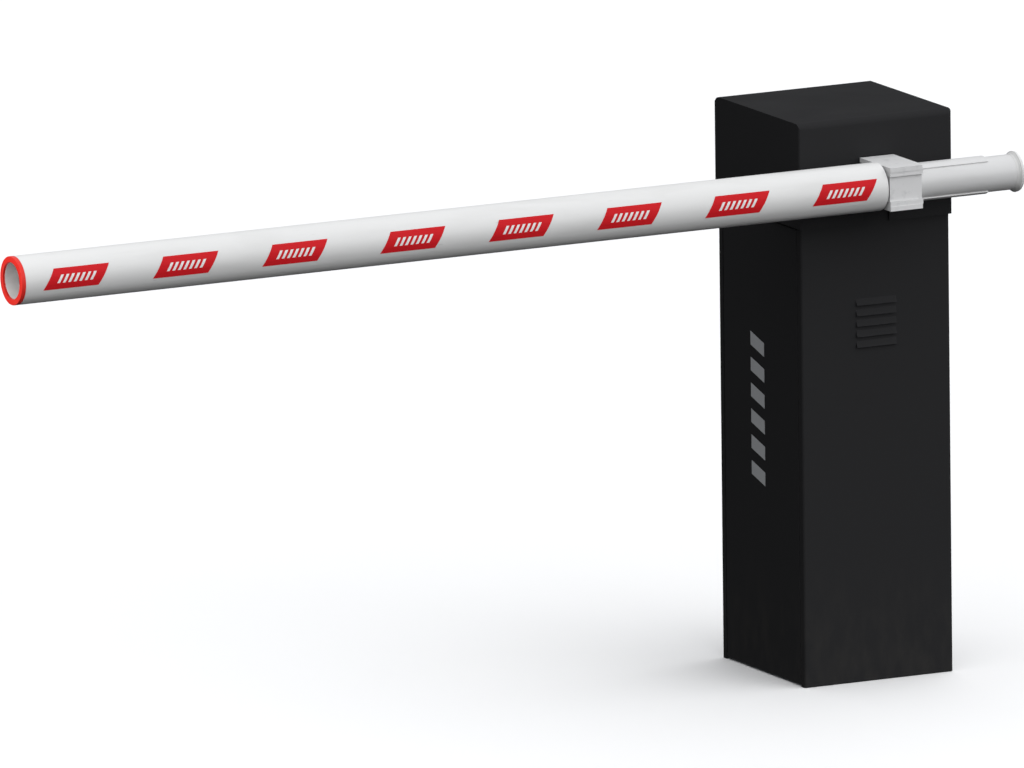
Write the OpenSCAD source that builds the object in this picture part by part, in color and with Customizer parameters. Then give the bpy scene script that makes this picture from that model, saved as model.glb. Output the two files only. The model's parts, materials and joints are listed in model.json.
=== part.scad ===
// Parking barrier gate. Millimetres, +Z up, origin on the ground under the centre of the cabinet.
// The boom lies along -X at rest and turns up about a shaft along Y. The cabinet's front is -Y.

/* [Cabinet] */
// Width of the cabinet body
cabinet_w = 292; // [260:1:380]
// Depth of the cabinet body
cabinet_d = 310; // [300:1:400]
// Height of the whole cabinet with its hood
total_h = 1000; // [960:5:1200]
// Thickness of the cabinet sheet
sheet = 2; // [1.5:0.5:3]
// Outer radius of the body's upright bends
bend_r = 4; // [3.5:0.5:6]
// Width of the flange folded in along the top of the body
top_flange = 20; // [15:1:24]
// Height of the body's top edge inside the hood, below the top of the hood
body_drop = 148; // [146:1:152]

/* [Louvres] */
// Number of louvres
louvre_count = 5; // [3:1:6]
// Length of a louvre
louvre_l = 78; // [50:1:100]
// Height of the opening pressed out for a louvre
louvre_h = 11; // [8:0.5:13]
// How far a louvre stands out
louvre_out = 5; // [4:0.5:7]
// Height of the middle louvre
louvre_z = 637; // [600:1:660]
// Distance between louvres
louvre_pitch = 18.6; // [17:0.1:24]

/* [Base] */
// Thickness of the base plate
base_t = 8; // [6:1:10]
// Distance between anchor holes across the width
anchor_x = 220; // [200:1:224]
// Distance between anchor holes across the depth
anchor_y = 240; // [220:1:250]
// Diameter of an anchor hole
anchor_d = 14; // [12:1:18]
// Width of the cable opening
cable_w = 110; // [80:1:120]
// Depth of the cable opening
cable_d = 80; // [60:1:90]

/* [Hood] */
// Height of the hood
hood_h = 186; // [180:1:200]
// Gap between body and hood at the sides
hood_gap_x = 2; // [1.5:0.5:4]
// Gap between body and hood at front and back
hood_gap_y = 2.5; // [1.5:0.5:4]
// Outer radius of the bend along the hood's front top edge
bend_front = 11.5; // [6:0.5:20]
// Outer radius of the bend along the hood's back top edge
bend_back = 20; // [6:0.5:24]
// Width of the slot that the shaft passes through
slot_w = 52; // [48:1:60]

/* [Door] */
// Distance from the body's corners to the door opening
door_inset = 14.5; // [14:0.5:20]
// Width of the seam around the door
seam = 2.5; // [2.5:0.1:4]
// Height of the door's lower edge
door_z0 = 4; // [3:1:6]
// Depth of the door's folded rim
rim = 15; // [14:1:18]
// Distance from the door's outer corner to its pivot pins
pivot_in = 6.5; // [6:0.5:7]
// Diameter of the pivot pins
pivot_d = 6; // [5:0.5:6]
// Diameter of the door bolt
bolt_d = 8; // [6:0.5:9]
// Travel of the door bolt
bolt_travel = 14; // [12:1:16]

/* [Marks] */
// Number of slanted bars on the door
mark_count = 6; // [3:1:8]
// Width of a bar
mark_w = 50; // [30:1:70]
// Height of a bar
mark_h = 24; // [12:1:30]
// Distance between bars
mark_pitch = 46; // [34:1:50]
// Height of the middle of the bars
mark_z = 468; // [300:1:600]
// Distance of the bars from the middle of the door, towards the back
mark_y = 12; // [-40:1:40]

/* [Boom] */
// Outer diameter of the boom
boom_d = 85; // [80:1:90]
// Wall of the boom
boom_wall = 2.5; // [2:0.5:4]
// Length of the boom tube
boom_l = 1673; // [1620:1:3000]
// Distance between the holder and the boom tube
boom_gap = 3.5; // [0.3:0.1:8]
// Length of the ring in the boom's free end that stands out of the tube
ring_lip = 8; // [6:1:12]
// Bore of the end ring
ring_bore = 64; // [56:1:68]
// Number of reflective labels
label_count = 8; // [4:1:8]
// Length of a label
label_l = 106; // [60:1:120]
// Half of the angle that a label wraps around the boom
label_half = 25; // [15:1:40]
// How far a label's upper edge leans towards the holder, on each side of its middle
label_lean = 11; // [0:1:20]
// Distance from the boom's root to the middle of the first label
label_first = 84.4; // [80:0.1:120]
// Distance between labels
label_pitch = 210.5; // [150:0.5:220]
// Labels in the run nearest the holder
label_run = 5; // [1:1:8]
// Extra distance after that run
label_split = 17.5; // [0:0.1:40]
// Height of the middle of the labels above the boom's axis
label_up = 3.5; // [0:0.5:8]

/* [Tail] */
// Outer diameter of the tail tube
tail_d = 62; // [56:1:66]
// Wall of the tail tube
tail_wall = 4; // [3:0.5:6]
// Length of the tail tube beyond the holder
tail_out = 190; // [170:1:260]
// Length of the tail tube inside the boom
tail_in = 190; // [120:1:240]
// Length of the key ribs beyond the holder
rib_out = 138.5; // [100:0.5:150]
// Half of the angle that a key rib wraps around the tube
rib_half = 36; // [20:1:40]
// How far a key rib stands above the tube
rib_h = 2.5; // [2:0.5:4]
// Diameter of the end plug's flange
plug_d = 72; // [68:1:80]

/* [Holder] */
// Length of the holder along the boom
holder_l = 66; // [60:1:90]
// Depth of the holder, from the cabinet outwards
holder_d = 114; // [112:1:130]
// Height of the holder
holder_h = 76.5; // [74:0.5:90]
// Gap between hood and holder
holder_gap = 4; // [3:0.5:10]
// Height of one step of the lips
lip_h = 8; // [6:0.5:9]
// How far the second step of the lips lies behind the first
lip_in = 1; // [0.5:0.5:2]
// How far the front cover lies behind the lips
cover_in = 5; // [4:0.5:7]
// Depth of the hollows between the holder's top and bottom plates, at both ends
web_in = 8; // [4:1:9]

/* [Shaft] */
// Diameter of the main shaft
shaft_d = 40; // [36:1:42]
// Distance from the top of the hood down to the shaft
shaft_drop = 107; // [104:1:112]
// Length of shaft inside the holder
shaft_in = 34; // [28:1:36]
// Wall of the shaft bushes
bush_wall = 4; // [3:0.5:5]
// Running clearance on the radius
run = 0.05; // [0.02:0.01:0.08]
// Width of the shaft keys
key_w = 10; // [8:1:12]

/* [Linkage] */
// Distance from shaft to pin on every lever
throw = 70; // [66:1:72]
// Thickness of the lever arms
arm_t = 14; // [12:1:14]
// Diameter of the link pins
pin_d = 16; // [14:1:18]
// Distance between crank and main shaft
link_l = 280; // [270:1:300]
// Clearance on the radius at the open upper pivot
open_clear = 0.3; // [0.3:0.05:0.5]

/* [Gearmotor] */
// Number of teeth on the worm wheel
wheel_teeth = 40; // [30:1:40]
// Outer diameter of the worm wheel
wheel_d = 83; // [76:1:83]
// Width of the worm wheel
wheel_w = 24; // [18:1:26]
// Outer diameter of the worm
worm_d = 26; // [24:1:27]
// Running gap between worm and worm wheel
mesh_gap = 0.5; // [0.4:0.1:1]
// Diameter of the output shaft
out_d = 28; // [26:1:30]
// Diameter of the worm shaft
worm_shaft_d = 16; // [14:1:17]
// Diameter of the motor casing
motor_d = 88; // [86:1:90]
// Length of the motor casing
motor_l = 128; // [120:1:140]

/* [Spring] */
// Diameter of the spring, to the middle of its wire
spring_d = 38; // [34:1:40]
// Diameter of the spring wire
wire_d = 6; // [5:0.5:7]
// Number of turns
spring_turns = 28; // [20:1:30]
// Height of the spring's lower end
spring_z0 = 152; // [145:1:160]
// Length of the spring while the boom is down
spring_l = 480; // [470:1:490]
// Distance of the spring from the rear drive plate
spring_back = 31; // [30.5:0.5:31.5]

/* [Control box] */
// Depth of the control box, from the wall
box_d = 58; // [52:1:60]
// Width of the control box
box_w = 170; // [150:1:180]
// Height of the control box
box_h = 240; // [200:1:260]
// Height of its lower edge
box_z0 = 90; // [80:1:110]
// Wall of the control box
box_wall = 3; // [2.5:0.5:4]

/* [Hidden] */
$fn = 64;
seat = 0.02;        // clearance of seated round parts
rib_clear = 0.1;    // clearance of the key ribs in their slots
mark_t = 0.4;        // thickness of the bars on the door
mark_lean = 7;       // how far a bar's ends lie above and below its middle
lap = 0.01;          // how far two blocks of one body run into each other
lip_trim = 1.5;      // how far each step of the lips stops short of the next one in
plug_in = 24;        // length of the end plug inside the tail tube
plug_out = 13;       // length of the end plug outside it

// Cabinet
in_x = cabinet_w / 2 - sheet;
in_y = cabinet_d / 2 - sheet;
hood_x = cabinet_w / 2 + hood_gap_x + sheet;
hood_y = cabinet_d / 2 + hood_gap_y + sheet;
hood_z0 = total_h - hood_h;
body_top = total_h - body_drop;
door_top = hood_z0 - 4;
open_half = cabinet_d / 2 - door_inset;
door_half = open_half - seam;
door_x = -cabinet_w / 2;
pivot_x = door_x + pivot_in;
pivot_y = door_half - pivot_in;
bolt_y = -open_half + 32;
seal_t = 3;

// Shaft, holder and boom
shaft_z = total_h - shaft_drop;
holder_back = -hood_y - holder_gap;
holder_front = holder_back - holder_d;
boom_y = holder_front + boom_d / 2;
boom_end = -holder_l / 2 - boom_gap;
boom_tip = boom_end - boom_l;
web_front = boom_y + tail_d / 2 + 8;
seat_front = boom_y - tail_d / 2;    // where the cover's back meets the holder
tail_end = holder_l / 2 + tail_out;
shaft_front = holder_back - shaft_in;

// Drive frame
plate_t = 6;
bolt_in = 11;        // from the cabinet walls to the bolts that hold the shelf
shelf_bolt_x = [-90, 100];
shelf_bolt_r = 5;
shelf_t = 8;
plate_front = -in_y + 21;
plate_rear = in_y - 37;
flange_t = 10;
boss_r = shaft_d / 2 + bush_wall + 10;
bearing_r = boss_r + 16;
bearing_pcd_r = boss_r + 8;
bush_r = shaft_d / 2 + bush_wall;
front_boss0 = plate_front - 12;
front_boss1 = plate_front + plate_t + flange_t + 8;
rear_boss0 = plate_rear - 4;
rear_boss1 = plate_rear + plate_t + flange_t + 8;
shaft_rear = rear_boss1 + 4;
key_in = 4;          // depth of a key in its shaft
key_out = 3;         // height of a key above its shaft

// Linkage, all at the same throw and angle, so that the link stays upright
lever_angle = 45;    // above level at rest
crank_z = shaft_z - link_l;
arm_y0 = front_boss1 + 10;
arm_y1 = arm_y0 + arm_t;
eye_w = 14;
eye_y0 = arm_y1 + 4;
eye_y1 = eye_y0 + eye_w;
eye_r = pin_d / 2 + 8;
pin_x = throw * cos(lever_angle);
pin_z = throw * sin(lever_angle);
hub_r = shaft_d / 2 + 12;
waist = 13;
bar_r = 9;
shank_r = 6;
neck_l = 34;

// Gearbox and motor
shelf_z1 = crank_z - 73;
shelf_z0 = shelf_z1 - shelf_t;
worm_x = -(wheel_d / 2 + worm_d / 2 + mesh_gap);
gear_wall = 8;
gear_front = -46;
chamber_y0 = -18;
chamber_y1 = 20;
cover_y1 = chamber_y1 + 10;
gear_r = wheel_d / 2 + 3 + gear_wall;
gear_top = crank_z + 73;
column_r = worm_d / 2 + 2;
foot_y = 58;
foot_t = 10;
foot_x0 = worm_x - 25;
foot_x1 = 60;
out_bush = 4;
bearing_out = worm_shaft_d / 2 + 4;
motor_z1 = shelf_z1 - 12;
motor_z0 = motor_z1 - motor_l;
motor_r = motor_d / 2;
shield_t = 10;
fan_room = 42;
motor_hole_r = motor_r + 2;
rotor_r = 28;

// Spring
spring_y = plate_rear - spring_back;
spring_z1 = spring_z0 + spring_l;
spring_eye_w = 12;
spring_arm_y0 = spring_y + spring_eye_w / 2 + 2;
spring_arm_y1 = spring_arm_y0 + 12;
spring_hub_y1 = rear_boss0 - 2;
anchor_top = 60;
rod_r = 5;
plug_r = spring_d / 2 - wire_d / 2 - 1;

// Stops
stop_throw = 58;
stop_r = 12;
stop_half = 11;
stop_angle = 200;
stop_turn = asin((stop_r + stop_half + 0.4) / stop_throw);

module block(x0, x1, y0, y1, z0, z1) {
    translate([x0, y0, z0]) cube([x1 - x0, y1 - y0, z1 - z0]);
}

module along_x(r, x0, x1, y, z) {
    translate([x0, y, z]) rotate([0, 90, 0]) cylinder(h = x1 - x0, r = r);
}

module along_y(r, y0, y1, x, z) {
    translate([x, y0, z]) rotate([-90, 0, 0]) cylinder(h = y1 - y0, r = r);
}

module along_z(r, z0, z1, x, y) {
    translate([x, y, z0]) cylinder(h = z1 - z0, r = r);
}

// A flat outline in X and Z, given its thickness from y0 to y1
module upright(y0, y1) {
    translate([0, y1, 0]) rotate([90, 0, 0]) linear_extrude(y1 - y0) children();
}

module round_rect(w, d, r) {
    square([w - 2 * r, d], center = true);
    square([w, d - 2 * r], center = true);
    for (x = [-1, 1], y = [-1, 1])
        translate([x * (w / 2 - r), y * (d / 2 - r)]) circle(r);
}

module hex_head(r, h) {
    cylinder(h = h, r = r, $fn = 6);
}

// ---------------------------------------------------------------- cabinet

module louvre_prism(top, out, low, back, l) {
    translate([0, -cabinet_d / 2, 0]) rotate([90, 0, 90]) linear_extrude(l, center = true)
        polygon([[back, top], [0, top], [-out, low], [back, low]]);
}

module louvres(cut) {
    for (i = [0 : louvre_count - 1])
        translate([0, 0, louvre_z + (i - (louvre_count - 1) / 2) * louvre_pitch])
            if (cut) louvre_prism(louvre_h / 2 - 2, louvre_out - 1.5, -louvre_h / 2 - 1,
                                  sheet + 1, louvre_l - 3);
            else louvre_prism(louvre_h / 2, louvre_out, -louvre_h / 2, sheet / 2, louvre_l);
}

module cabinet_body() color("#2a2b2d") difference() {
    union() {
        linear_extrude(body_top) difference() {
            round_rect(cabinet_w, cabinet_d, bend_r);
            round_rect(2 * in_x, 2 * in_y, bend_r - sheet);
        }
        translate([0, 0, body_top - sheet]) linear_extrude(sheet) difference() {
            round_rect(2 * in_x + 1, 2 * in_y + 1, bend_r - sheet);
            square([2 * (in_x - top_flange), 2 * (in_y - top_flange)], center = true);
        }
        louvres(false);
        // lug for the upper pivot pin
        block(-in_x, pivot_x + 8, pivot_y - 8, pivot_y + 8, hood_z0, hood_z0 + 8);
        // guide for the door bolt
        block(-in_x, pivot_x + 9, -open_half + 22, -open_half + 42, hood_z0 + 2, hood_z0 + 30);
        // keeper that the hood lock's cam turns under
        block(lock_x - 44, lock_x - 16, in_y - 15, in_y - 12, body_top - sheet, lock_z + 12);
        block(lock_x - 44, lock_x - 12, in_y - 15, in_y, lock_z + 9, lock_z + 12);
    }
    block(door_x - 1, -in_x + 0.01, -open_half, open_half, -1, door_top + seam);
    louvres(true);
    along_z(pivot_d / 2 + seat, hood_z0 - 1, hood_z0 + 10, pivot_x, pivot_y);
    along_z(bolt_d / 2 + run, hood_z0, body_top + 1, pivot_x, bolt_y);
}

module base_outline() {
    intersection() {
        round_rect(2 * in_x, 2 * in_y, bend_r - sheet);
        translate([-in_x + 2, -in_y]) square([2 * in_x, 2 * in_y]);
    }
}

module base_plate() color("#3c3e40") difference() {
    linear_extrude(base_t) difference() {
        base_outline();
        square([cable_w, cable_d], center = true);
        for (x = [-1, 1], y = [-1, 1]) translate([x * anchor_x / 2, y * anchor_y / 2]) circle(anchor_d / 2);
    }
    along_z(pivot_d / 2 + seat, -1, base_t + 1, pivot_x, pivot_y);
    along_z(norm([pivot_in, pivot_in]) + 0.8, door_z0 - 0.5, base_t + 1, pivot_x, pivot_y);
}

module support_rails() color("#55585b") {
    for (s = [0, 1]) mirror([0, s, 0]) difference() {
        union() {
            block(-120, in_x - 8, -in_y, -in_y + 3, shelf_z0 - 32, shelf_z0);
            block(-120, in_x - 8, -in_y, -in_y + 28, shelf_z0 - 3, shelf_z0);
        }
        for (x = shelf_bolt_x) along_z(shelf_bolt_r + 0.3, shelf_z0 - 4, shelf_z0 + 1, x, -in_y + bolt_in);
    }
}

module drive_frame() color("#7b1f1f") difference() {
    union() {
        block(-in_x + 16, in_x - 4, -in_y + 1, in_y - 1, shelf_z0, shelf_z1);
        for (y = [plate_front, plate_rear]) upright(y, y + plate_t)
            polygon([[-95, shelf_z1], [95, shelf_z1], [95, shelf_z1 + 270],
                     [62, total_h - 25], [-62, total_h - 25], [-95, shelf_z1 + 270]]);
    }
    for (y = [plate_front, plate_rear]) along_y(boss_r + seat, y - 1, y + plate_t + 1, 0, shaft_z);
    for (a = [45 : 90 : 315]) {
        for (y = [plate_front, plate_rear])
            along_y(4, y - 1, y + plate_t + 1, bearing_pcd_r * cos(a), shaft_z + bearing_pcd_r * sin(a));
    }
    for (a = [stop_angle + stop_turn, stop_angle - 90 - stop_turn])
        along_y(4 + seat, plate_rear - 1, plate_rear + plate_t + 1,
                stop_throw * cos(a), shaft_z + stop_throw * sin(a));
    along_z(motor_hole_r, shelf_z0 - 1, shelf_z1 + 1, worm_x, 0);
    block(pin_x - spring_d / 2 - 8, throw + spring_d / 2 + 8, spring_y - spring_d / 2 - 6,
          spring_y + spring_d / 2 + 6, shelf_z0 - 1, shelf_z1 + 1);
    for (x = shelf_bolt_x, s = [-1, 1])
        along_z(shelf_bolt_r + 0.3, shelf_z0 - 1, shelf_z1 + 1, x, s * (in_y - bolt_in));
    for (p = foot_holes()) along_z(4, shelf_z0 - 1, shelf_z1 + 1, p[0], p[1]);
}

module frame_bolts() color("#b9bcc0") {
    for (x = shelf_bolt_x, s = [-1, 1]) translate([x, s * (in_y - bolt_in), 0]) {
        along_z(shelf_bolt_r, shelf_z0 - 14, shelf_z1, 0, 0);
        translate([0, 0, shelf_z1]) hex_head(9, 6.5);
        difference() {
            translate([0, 0, shelf_z0 - 11]) hex_head(9, 8);
            along_z(shelf_bolt_r, shelf_z0 - 12, shelf_z0, 0, 0);
        }
    }
}

module vent_screen() color("#3a3c3e") difference() {
    block(-louvre_l / 2 - 12, louvre_l / 2 + 12, -in_y, -in_y + 1.5,
          louvre_z - 62, louvre_z + 62);
    for (i = [-7 : 7]) block(-louvre_l / 2 - 2, louvre_l / 2 + 2, -in_y - 1, -in_y + 4,
                             louvre_z + i * 7.5 - 2.2, louvre_z + i * 7.5 + 2.2);
}

module hood_seals() color("#161616") {
    for (s = [-1, 1]) mirror([s > 0 ? 1 : 0, 0, 0])
        block(-in_x + 1, -in_x + top_flange - 2, -70, 100, body_top, body_top + seal_t);
}

module pivot_pins() color("#c2c5c8") {
    along_z(pivot_d / 2, door_top - 8, hood_z0 + 8, pivot_x, pivot_y);
    along_z(pivot_d / 2, 0, base_t + 16, pivot_x, pivot_y);
    along_z(pivot_d / 2 + 1.3, door_z0 - 0.5, base_t + 6, pivot_x, pivot_y);
}

// ---------------------------------------------------------------- shaft bearings and stops

module bearing_unit(flange_y0, boss_y0, boss_y1) difference() {
    union() {
        along_y(bearing_r, flange_y0, flange_y0 + flange_t, 0, shaft_z);
        along_y(boss_r, boss_y0, boss_y1, 0, shaft_z);
    }
    along_y(bush_r + seat, boss_y0 - 1, boss_y1 + 1, 0, shaft_z);
    for (a = [45 : 90 : 315])
        along_y(4 + seat, flange_y0 - 1, flange_y0 + flange_t + 1,
                bearing_pcd_r * cos(a), shaft_z + bearing_pcd_r * sin(a));
}

module bearing_housings() color("#5d6064") {
    bearing_unit(plate_front + plate_t, front_boss0, front_boss1);
    bearing_unit(plate_rear + plate_t, rear_boss0, rear_boss1);
}

module bush(d, wall, y0, y1, z) difference() {
    along_y(d / 2 + wall, y0, y1, 0, z);
    along_y(d / 2 + run, y0 - 1, y1 + 1, 0, z);
}

module bronze_bushes() color("#b08d4a") {
    bush(shaft_d, bush_wall, front_boss0, front_boss1, shaft_z);
    bush(shaft_d, bush_wall, rear_boss0, rear_boss1, shaft_z);
    bush(out_d, out_bush, gear_front - 4, chamber_y0, crank_z);
    bush(out_d, out_bush, chamber_y1, cover_y1 + 4, crank_z);
}

module bearing_bolts() color("#b9bcc0") {
    for (a = [45 : 90 : 315], side = [0, 1]) {
        y = side == 0 ? plate_front : plate_rear;
        x = bearing_pcd_r * cos(a);
        z = shaft_z + bearing_pcd_r * sin(a);
        along_y(4, y, y + plate_t + flange_t, x, z);
        translate([x, y + plate_t + flange_t, z]) rotate([-90, 0, 0]) hex_head(7, 5.5);
    }
}

module stop_rollers() color("#1d1d1d") {
    for (a = [stop_angle + stop_turn, stop_angle - 90 - stop_turn]) {
        x = stop_throw * cos(a);
        z = shaft_z + stop_throw * sin(a);
        difference() {
            along_y(stop_r, spring_arm_y0 - 2, plate_rear, x, z);
            along_y(4 + seat, spring_arm_y0 - 3, plate_rear + 1, x, z);
        }
        along_y(4, spring_arm_y0 - 2, plate_rear + plate_t, x, z);
        along_y(8, spring_arm_y0 - 7, spring_arm_y0 - 2, x, z);
    }
}

module sensor_bracket() color("#9a9da0") difference() {
    union() {
        block(-88, -84, plate_front + plate_t, cam_y + 20, shaft_z - 36, shaft_z + 36);
        block(-94, -78, plate_front + plate_t, plate_front + plate_t + 4, shaft_z - 36, shaft_z + 36);
    }
    for (z = sensor_heights()) along_x(6 + seat, -89, -83, cam_y, z);
}

cam_y = -30;
cam_r = 38;
function sensor_heights() = [shaft_z - 14, shaft_z + 14];

module limit_sensors() color("#3f7fae") {
    for (z = sensor_heights()) {
        along_x(6, -104, -cam_r - 3, cam_y, z);
        for (x = [-84, -94]) difference() {
            translate([x, cam_y, z]) rotate([0, 90, 0]) hex_head(9.5, 4);
            along_x(6, x - 1, x + 5, cam_y, z);
        }
    }
}

// ---------------------------------------------------------------- gearmotor

release_x = 20;
release_z = crank_z + 34;
release_l = 70;

function foot_holes() = [for (x = [foot_x0 + 9, foot_x1 - 8], s = [-1, 1]) [x, s * (foot_y - 8)]];

module gear_outline(z0) {
    translate([0, crank_z]) circle(gear_r);
    translate([-gear_r + 8, z0]) square([2 * gear_r - 16, crank_z - z0]);
}

module gearbox_housing() color("#8e9296") difference() {
    union() {
        upright(gear_front, chamber_y1) gear_outline(shelf_z1);
        block(foot_x0, worm_x + column_r + 6, -column_r - 8, chamber_y1, shelf_z1, gear_top);
        block(foot_x0, foot_x1, -foot_y, foot_y, shelf_z1, shelf_z1 + foot_t);
        along_y(out_d / 2 + out_bush + 8, gear_front - 6, gear_front + 1, 0, crank_z);
    }
    along_y(wheel_d / 2 + 3, chamber_y0, chamber_y1 + 1, 0, crank_z);
    along_z(column_r, shelf_z1 + 14, gear_top - 14, worm_x, 0);
    along_z(bearing_out + seat, gear_top - 15, gear_top - 3, worm_x, 0);
    along_z(worm_shaft_d / 2 + 2, shelf_z1 - 1, gear_top - 14, worm_x, 0);
    along_y(out_d / 2 + out_bush + seat, gear_front - 7, chamber_y0 + 1, 0, crank_z);
    for (p = foot_holes()) along_z(4.4, shelf_z1 - 1, shelf_z1 + foot_t + 1, p[0], p[1]);
    for (a = cover_angles()) along_y(2.5 + seat, chamber_y1 - 14, chamber_y1 + 1,
        (gear_r - 4) * cos(a), crank_z + (gear_r - 4) * sin(a));
}

function cover_angles() = [-30, 30, 90, 125, 235];

module gearbox_cover() color("#a3a7ab") difference() {
    union() {
        upright(chamber_y1, cover_y1) gear_outline(shelf_z1 + foot_t + 0.2);
        along_y(out_d / 2 + out_bush + 8, chamber_y1, cover_y1 + 8, 0, crank_z);
    }
    along_y(out_d / 2 + out_bush + seat, chamber_y1 - 1, cover_y1 + 4, 0, crank_z);
    for (a = cover_angles()) along_y(2.5 + seat, chamber_y1 - 1, cover_y1 + 1,
        (gear_r - 4) * cos(a), crank_z + (gear_r - 4) * sin(a));
}

module gearbox_bolts() color("#c2c5c8") {
    for (a = cover_angles()) {
        along_y(2.5, chamber_y1 - 12, cover_y1, (gear_r - 4) * cos(a), crank_z + (gear_r - 4) * sin(a));
        along_y(4.2, cover_y1, cover_y1 + 4, (gear_r - 4) * cos(a), crank_z + (gear_r - 4) * sin(a));
    }
    for (p = foot_holes()) translate([p[0], p[1], 0]) {
        along_z(3.98, shelf_z0, shelf_z1 + foot_t, 0, 0);
        translate([0, 0, shelf_z1 + foot_t]) hex_head(7, 5.5);
    }
}

module motor_casing() color("#6d7276") translate([worm_x, 0, 0]) difference() {
    union() {
        translate([0, 0, motor_z0]) linear_extrude(motor_l) {
            circle(motor_r - 5);
            for (a = [0 : 15 : 345]) rotate(a) translate([motor_r - 8, -1.2]) square([8, 2.4]);
        }
        along_z(motor_r, motor_z1 - 6, shelf_z1, 0, 0);
        block(-motor_r - 6, -motor_r + 10, -22, 22, motor_z0 + 40, motor_z0 + 96);
    }
    along_z(motor_r - 9, motor_z0 - 1, motor_z1 - 8, 0, 0);
    along_z(worm_shaft_d / 2 + 2, motor_z0 - 1, shelf_z1 + 1, 0, 0);
}

module stator_core() color("#54575a") translate([worm_x, 0, 0]) difference() {
    along_z(motor_r - 9 - seat, motor_z0 + 20, motor_z0 + 100, 0, 0);
    along_z(rotor_r + 0.6, motor_z0 + 19, motor_z0 + 101, 0, 0);
}

module motor_end_shield() color("#6d7276") translate([worm_x, 0, 0]) difference() {
    along_z(motor_r - 3, motor_z0 - shield_t, motor_z0, 0, 0);
    along_z(bearing_out + seat, motor_z0 - shield_t - 1, motor_z0 + 1, 0, 0);
}

module motor_bearings() color("#c9ccd0") translate([worm_x, 0, 0]) {
    for (z = [[motor_z0 - shield_t, motor_z0], [gear_top - 14, gear_top - 3]]) difference() {
        along_z(bearing_out, z[0], z[1], 0, 0);
        along_z(worm_shaft_d / 2 + run, z[0] - 1, z[1] + 1, 0, 0);
    }
}

module fan_cover() color("#3b3e41") translate([worm_x, 0, 0]) difference() {
    along_z(motor_r - 1, motor_z0 - shield_t - fan_room, motor_z0, 0, 0);
    along_z(motor_r - 3 + seat, motor_z0 - shield_t - fan_room + 2, motor_z0 + 1, 0, 0);
    for (a = [0 : 30 : 330], r = [14, 24, 33]) rotate(a + r * 3)
        along_z(2.6, motor_z0 - shield_t - fan_room - 1, motor_z0 - shield_t - fan_room + 3, r, 0);
}

module terminal_box() color("#2f3133") {
    x1 = worm_x - motor_r - 6;
    block(x1 - 18, x1, -24, 24, motor_z0 + 38, motor_z0 + 98);
    block(x1 - 21, x1 - 18, -26, 26, motor_z0 + 36, motor_z0 + 100);
}

module capacitor() color("#d8d8d4") {
    y = -motor_r - 20;
    along_z(16, motor_z0 + 30, motor_z0 + 110, worm_x, y);
    along_z(5, motor_z0 + 110, motor_z0 + 120, worm_x, y);
    difference() {
        union() {
            along_z(18, motor_z0 + 60, motor_z0 + 76, worm_x, y);
            block(worm_x - 6, worm_x + 6, y, -motor_r - 0.1, motor_z0 + 60, motor_z0 + 76);
        }
        along_z(16, motor_z0 + 59, motor_z0 + 77, worm_x, y);
    }
}

module output_shaft() color("#c2c5c8") {
    along_y(out_d / 2, arm_y0 - 2, cover_y1 + 2, 0, crank_z);
    along_y(out_d / 2 + 5, arm_y0 - 6, arm_y0 - 2, 0, crank_z);
    translate([0, arm_y0 - 6, crank_z]) rotate([90, 0, 0]) hex_head(8, 6);
    for (y = [[arm_y0 + 2, arm_y1 + 12], [2 - wheel_w / 2, wheel_w / 2 - 2]])
        block(-4, 4, y[0], y[1], crank_z, crank_z + out_d / 2 + 3);
}

module worm_wheel() color("#b8923f") difference() {
    tip = wheel_d / 2;
    root = tip - 4.4;
    step = 360 / wheel_teeth;
    upright(-wheel_w / 2, wheel_w / 2) translate([0, crank_z]) polygon([
        for (i = [0 : wheel_teeth - 1], k = [[root, -0.32], [tip, -0.14], [tip, 0.14], [root, 0.32]])
            k[0] * [cos((i + k[1]) * step), sin((i + k[1]) * step)]]);
    along_y(out_d / 2 + seat, -wheel_w, wheel_w, 0, crank_z);
    block(-4.02, 4.02, -wheel_w, wheel_w, crank_z, crank_z + out_d / 2 + 3.1);
    for (a = [0 : 60 : 300]) along_y(5, -wheel_w, wheel_w, 27 * cos(a + 30), crank_z + 27 * sin(a + 30));
}

module worm_rotor() color("#a5a8ab") translate([worm_x, 0, 0]) {
    pitch = 6.28;
    turns = 7;
    worm_z0 = crank_z - pitch * turns / 2;
    rotate_extrude() polygon(concat(
        [[0, motor_z0 - shield_t - fan_room + 8], [worm_shaft_d / 2, motor_z0 - shield_t - fan_room + 8],
         [worm_shaft_d / 2, motor_z0 - 2], [worm_shaft_d / 2, motor_z0 + 20],
         [rotor_r, motor_z0 + 20], [rotor_r, motor_z0 + 100], [worm_shaft_d / 2, motor_z0 + 100],
         [worm_shaft_d / 2, worm_z0]],
        [for (i = [0 : turns - 1], k = [[0, -4], [1.6, 0], [3.1, 0], [4.7, -4]])
            [worm_d / 2 + k[1] * 0.98, worm_z0 + i * pitch + 0.2 + k[0]]],
        [[worm_shaft_d / 2, worm_z0 + turns * pitch], [worm_shaft_d / 2, gear_top - 4],
         [0, gear_top - 4]]));
    fan_z = motor_z0 - shield_t - fan_room + 10;
    difference() {
        union() {
            along_z(14, fan_z, fan_z + 16, 0, 0);
            along_z(motor_r - 8, fan_z + 16, fan_z + 18, 0, 0);
            for (a = [0 : 45 : 315]) rotate(a) block(12, motor_r - 8, -1, 1, fan_z, fan_z + 16.5);
        }
        along_z(worm_shaft_d / 2, fan_z - 1, fan_z + 19, 0, 0);
    }
}

module release_lever() color("#c7382b") {
    along_y(9, cover_y1 + 0.3, cover_y1 + 16, release_x, release_z);
    block(release_x - release_l, release_x, cover_y1 + 10, cover_y1 + 15, release_z - 6, release_z + 6);
    along_y(9, cover_y1 + 4, cover_y1 + 24, release_x - release_l, release_z);
}

// ---------------------------------------------------------------- linkage

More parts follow.
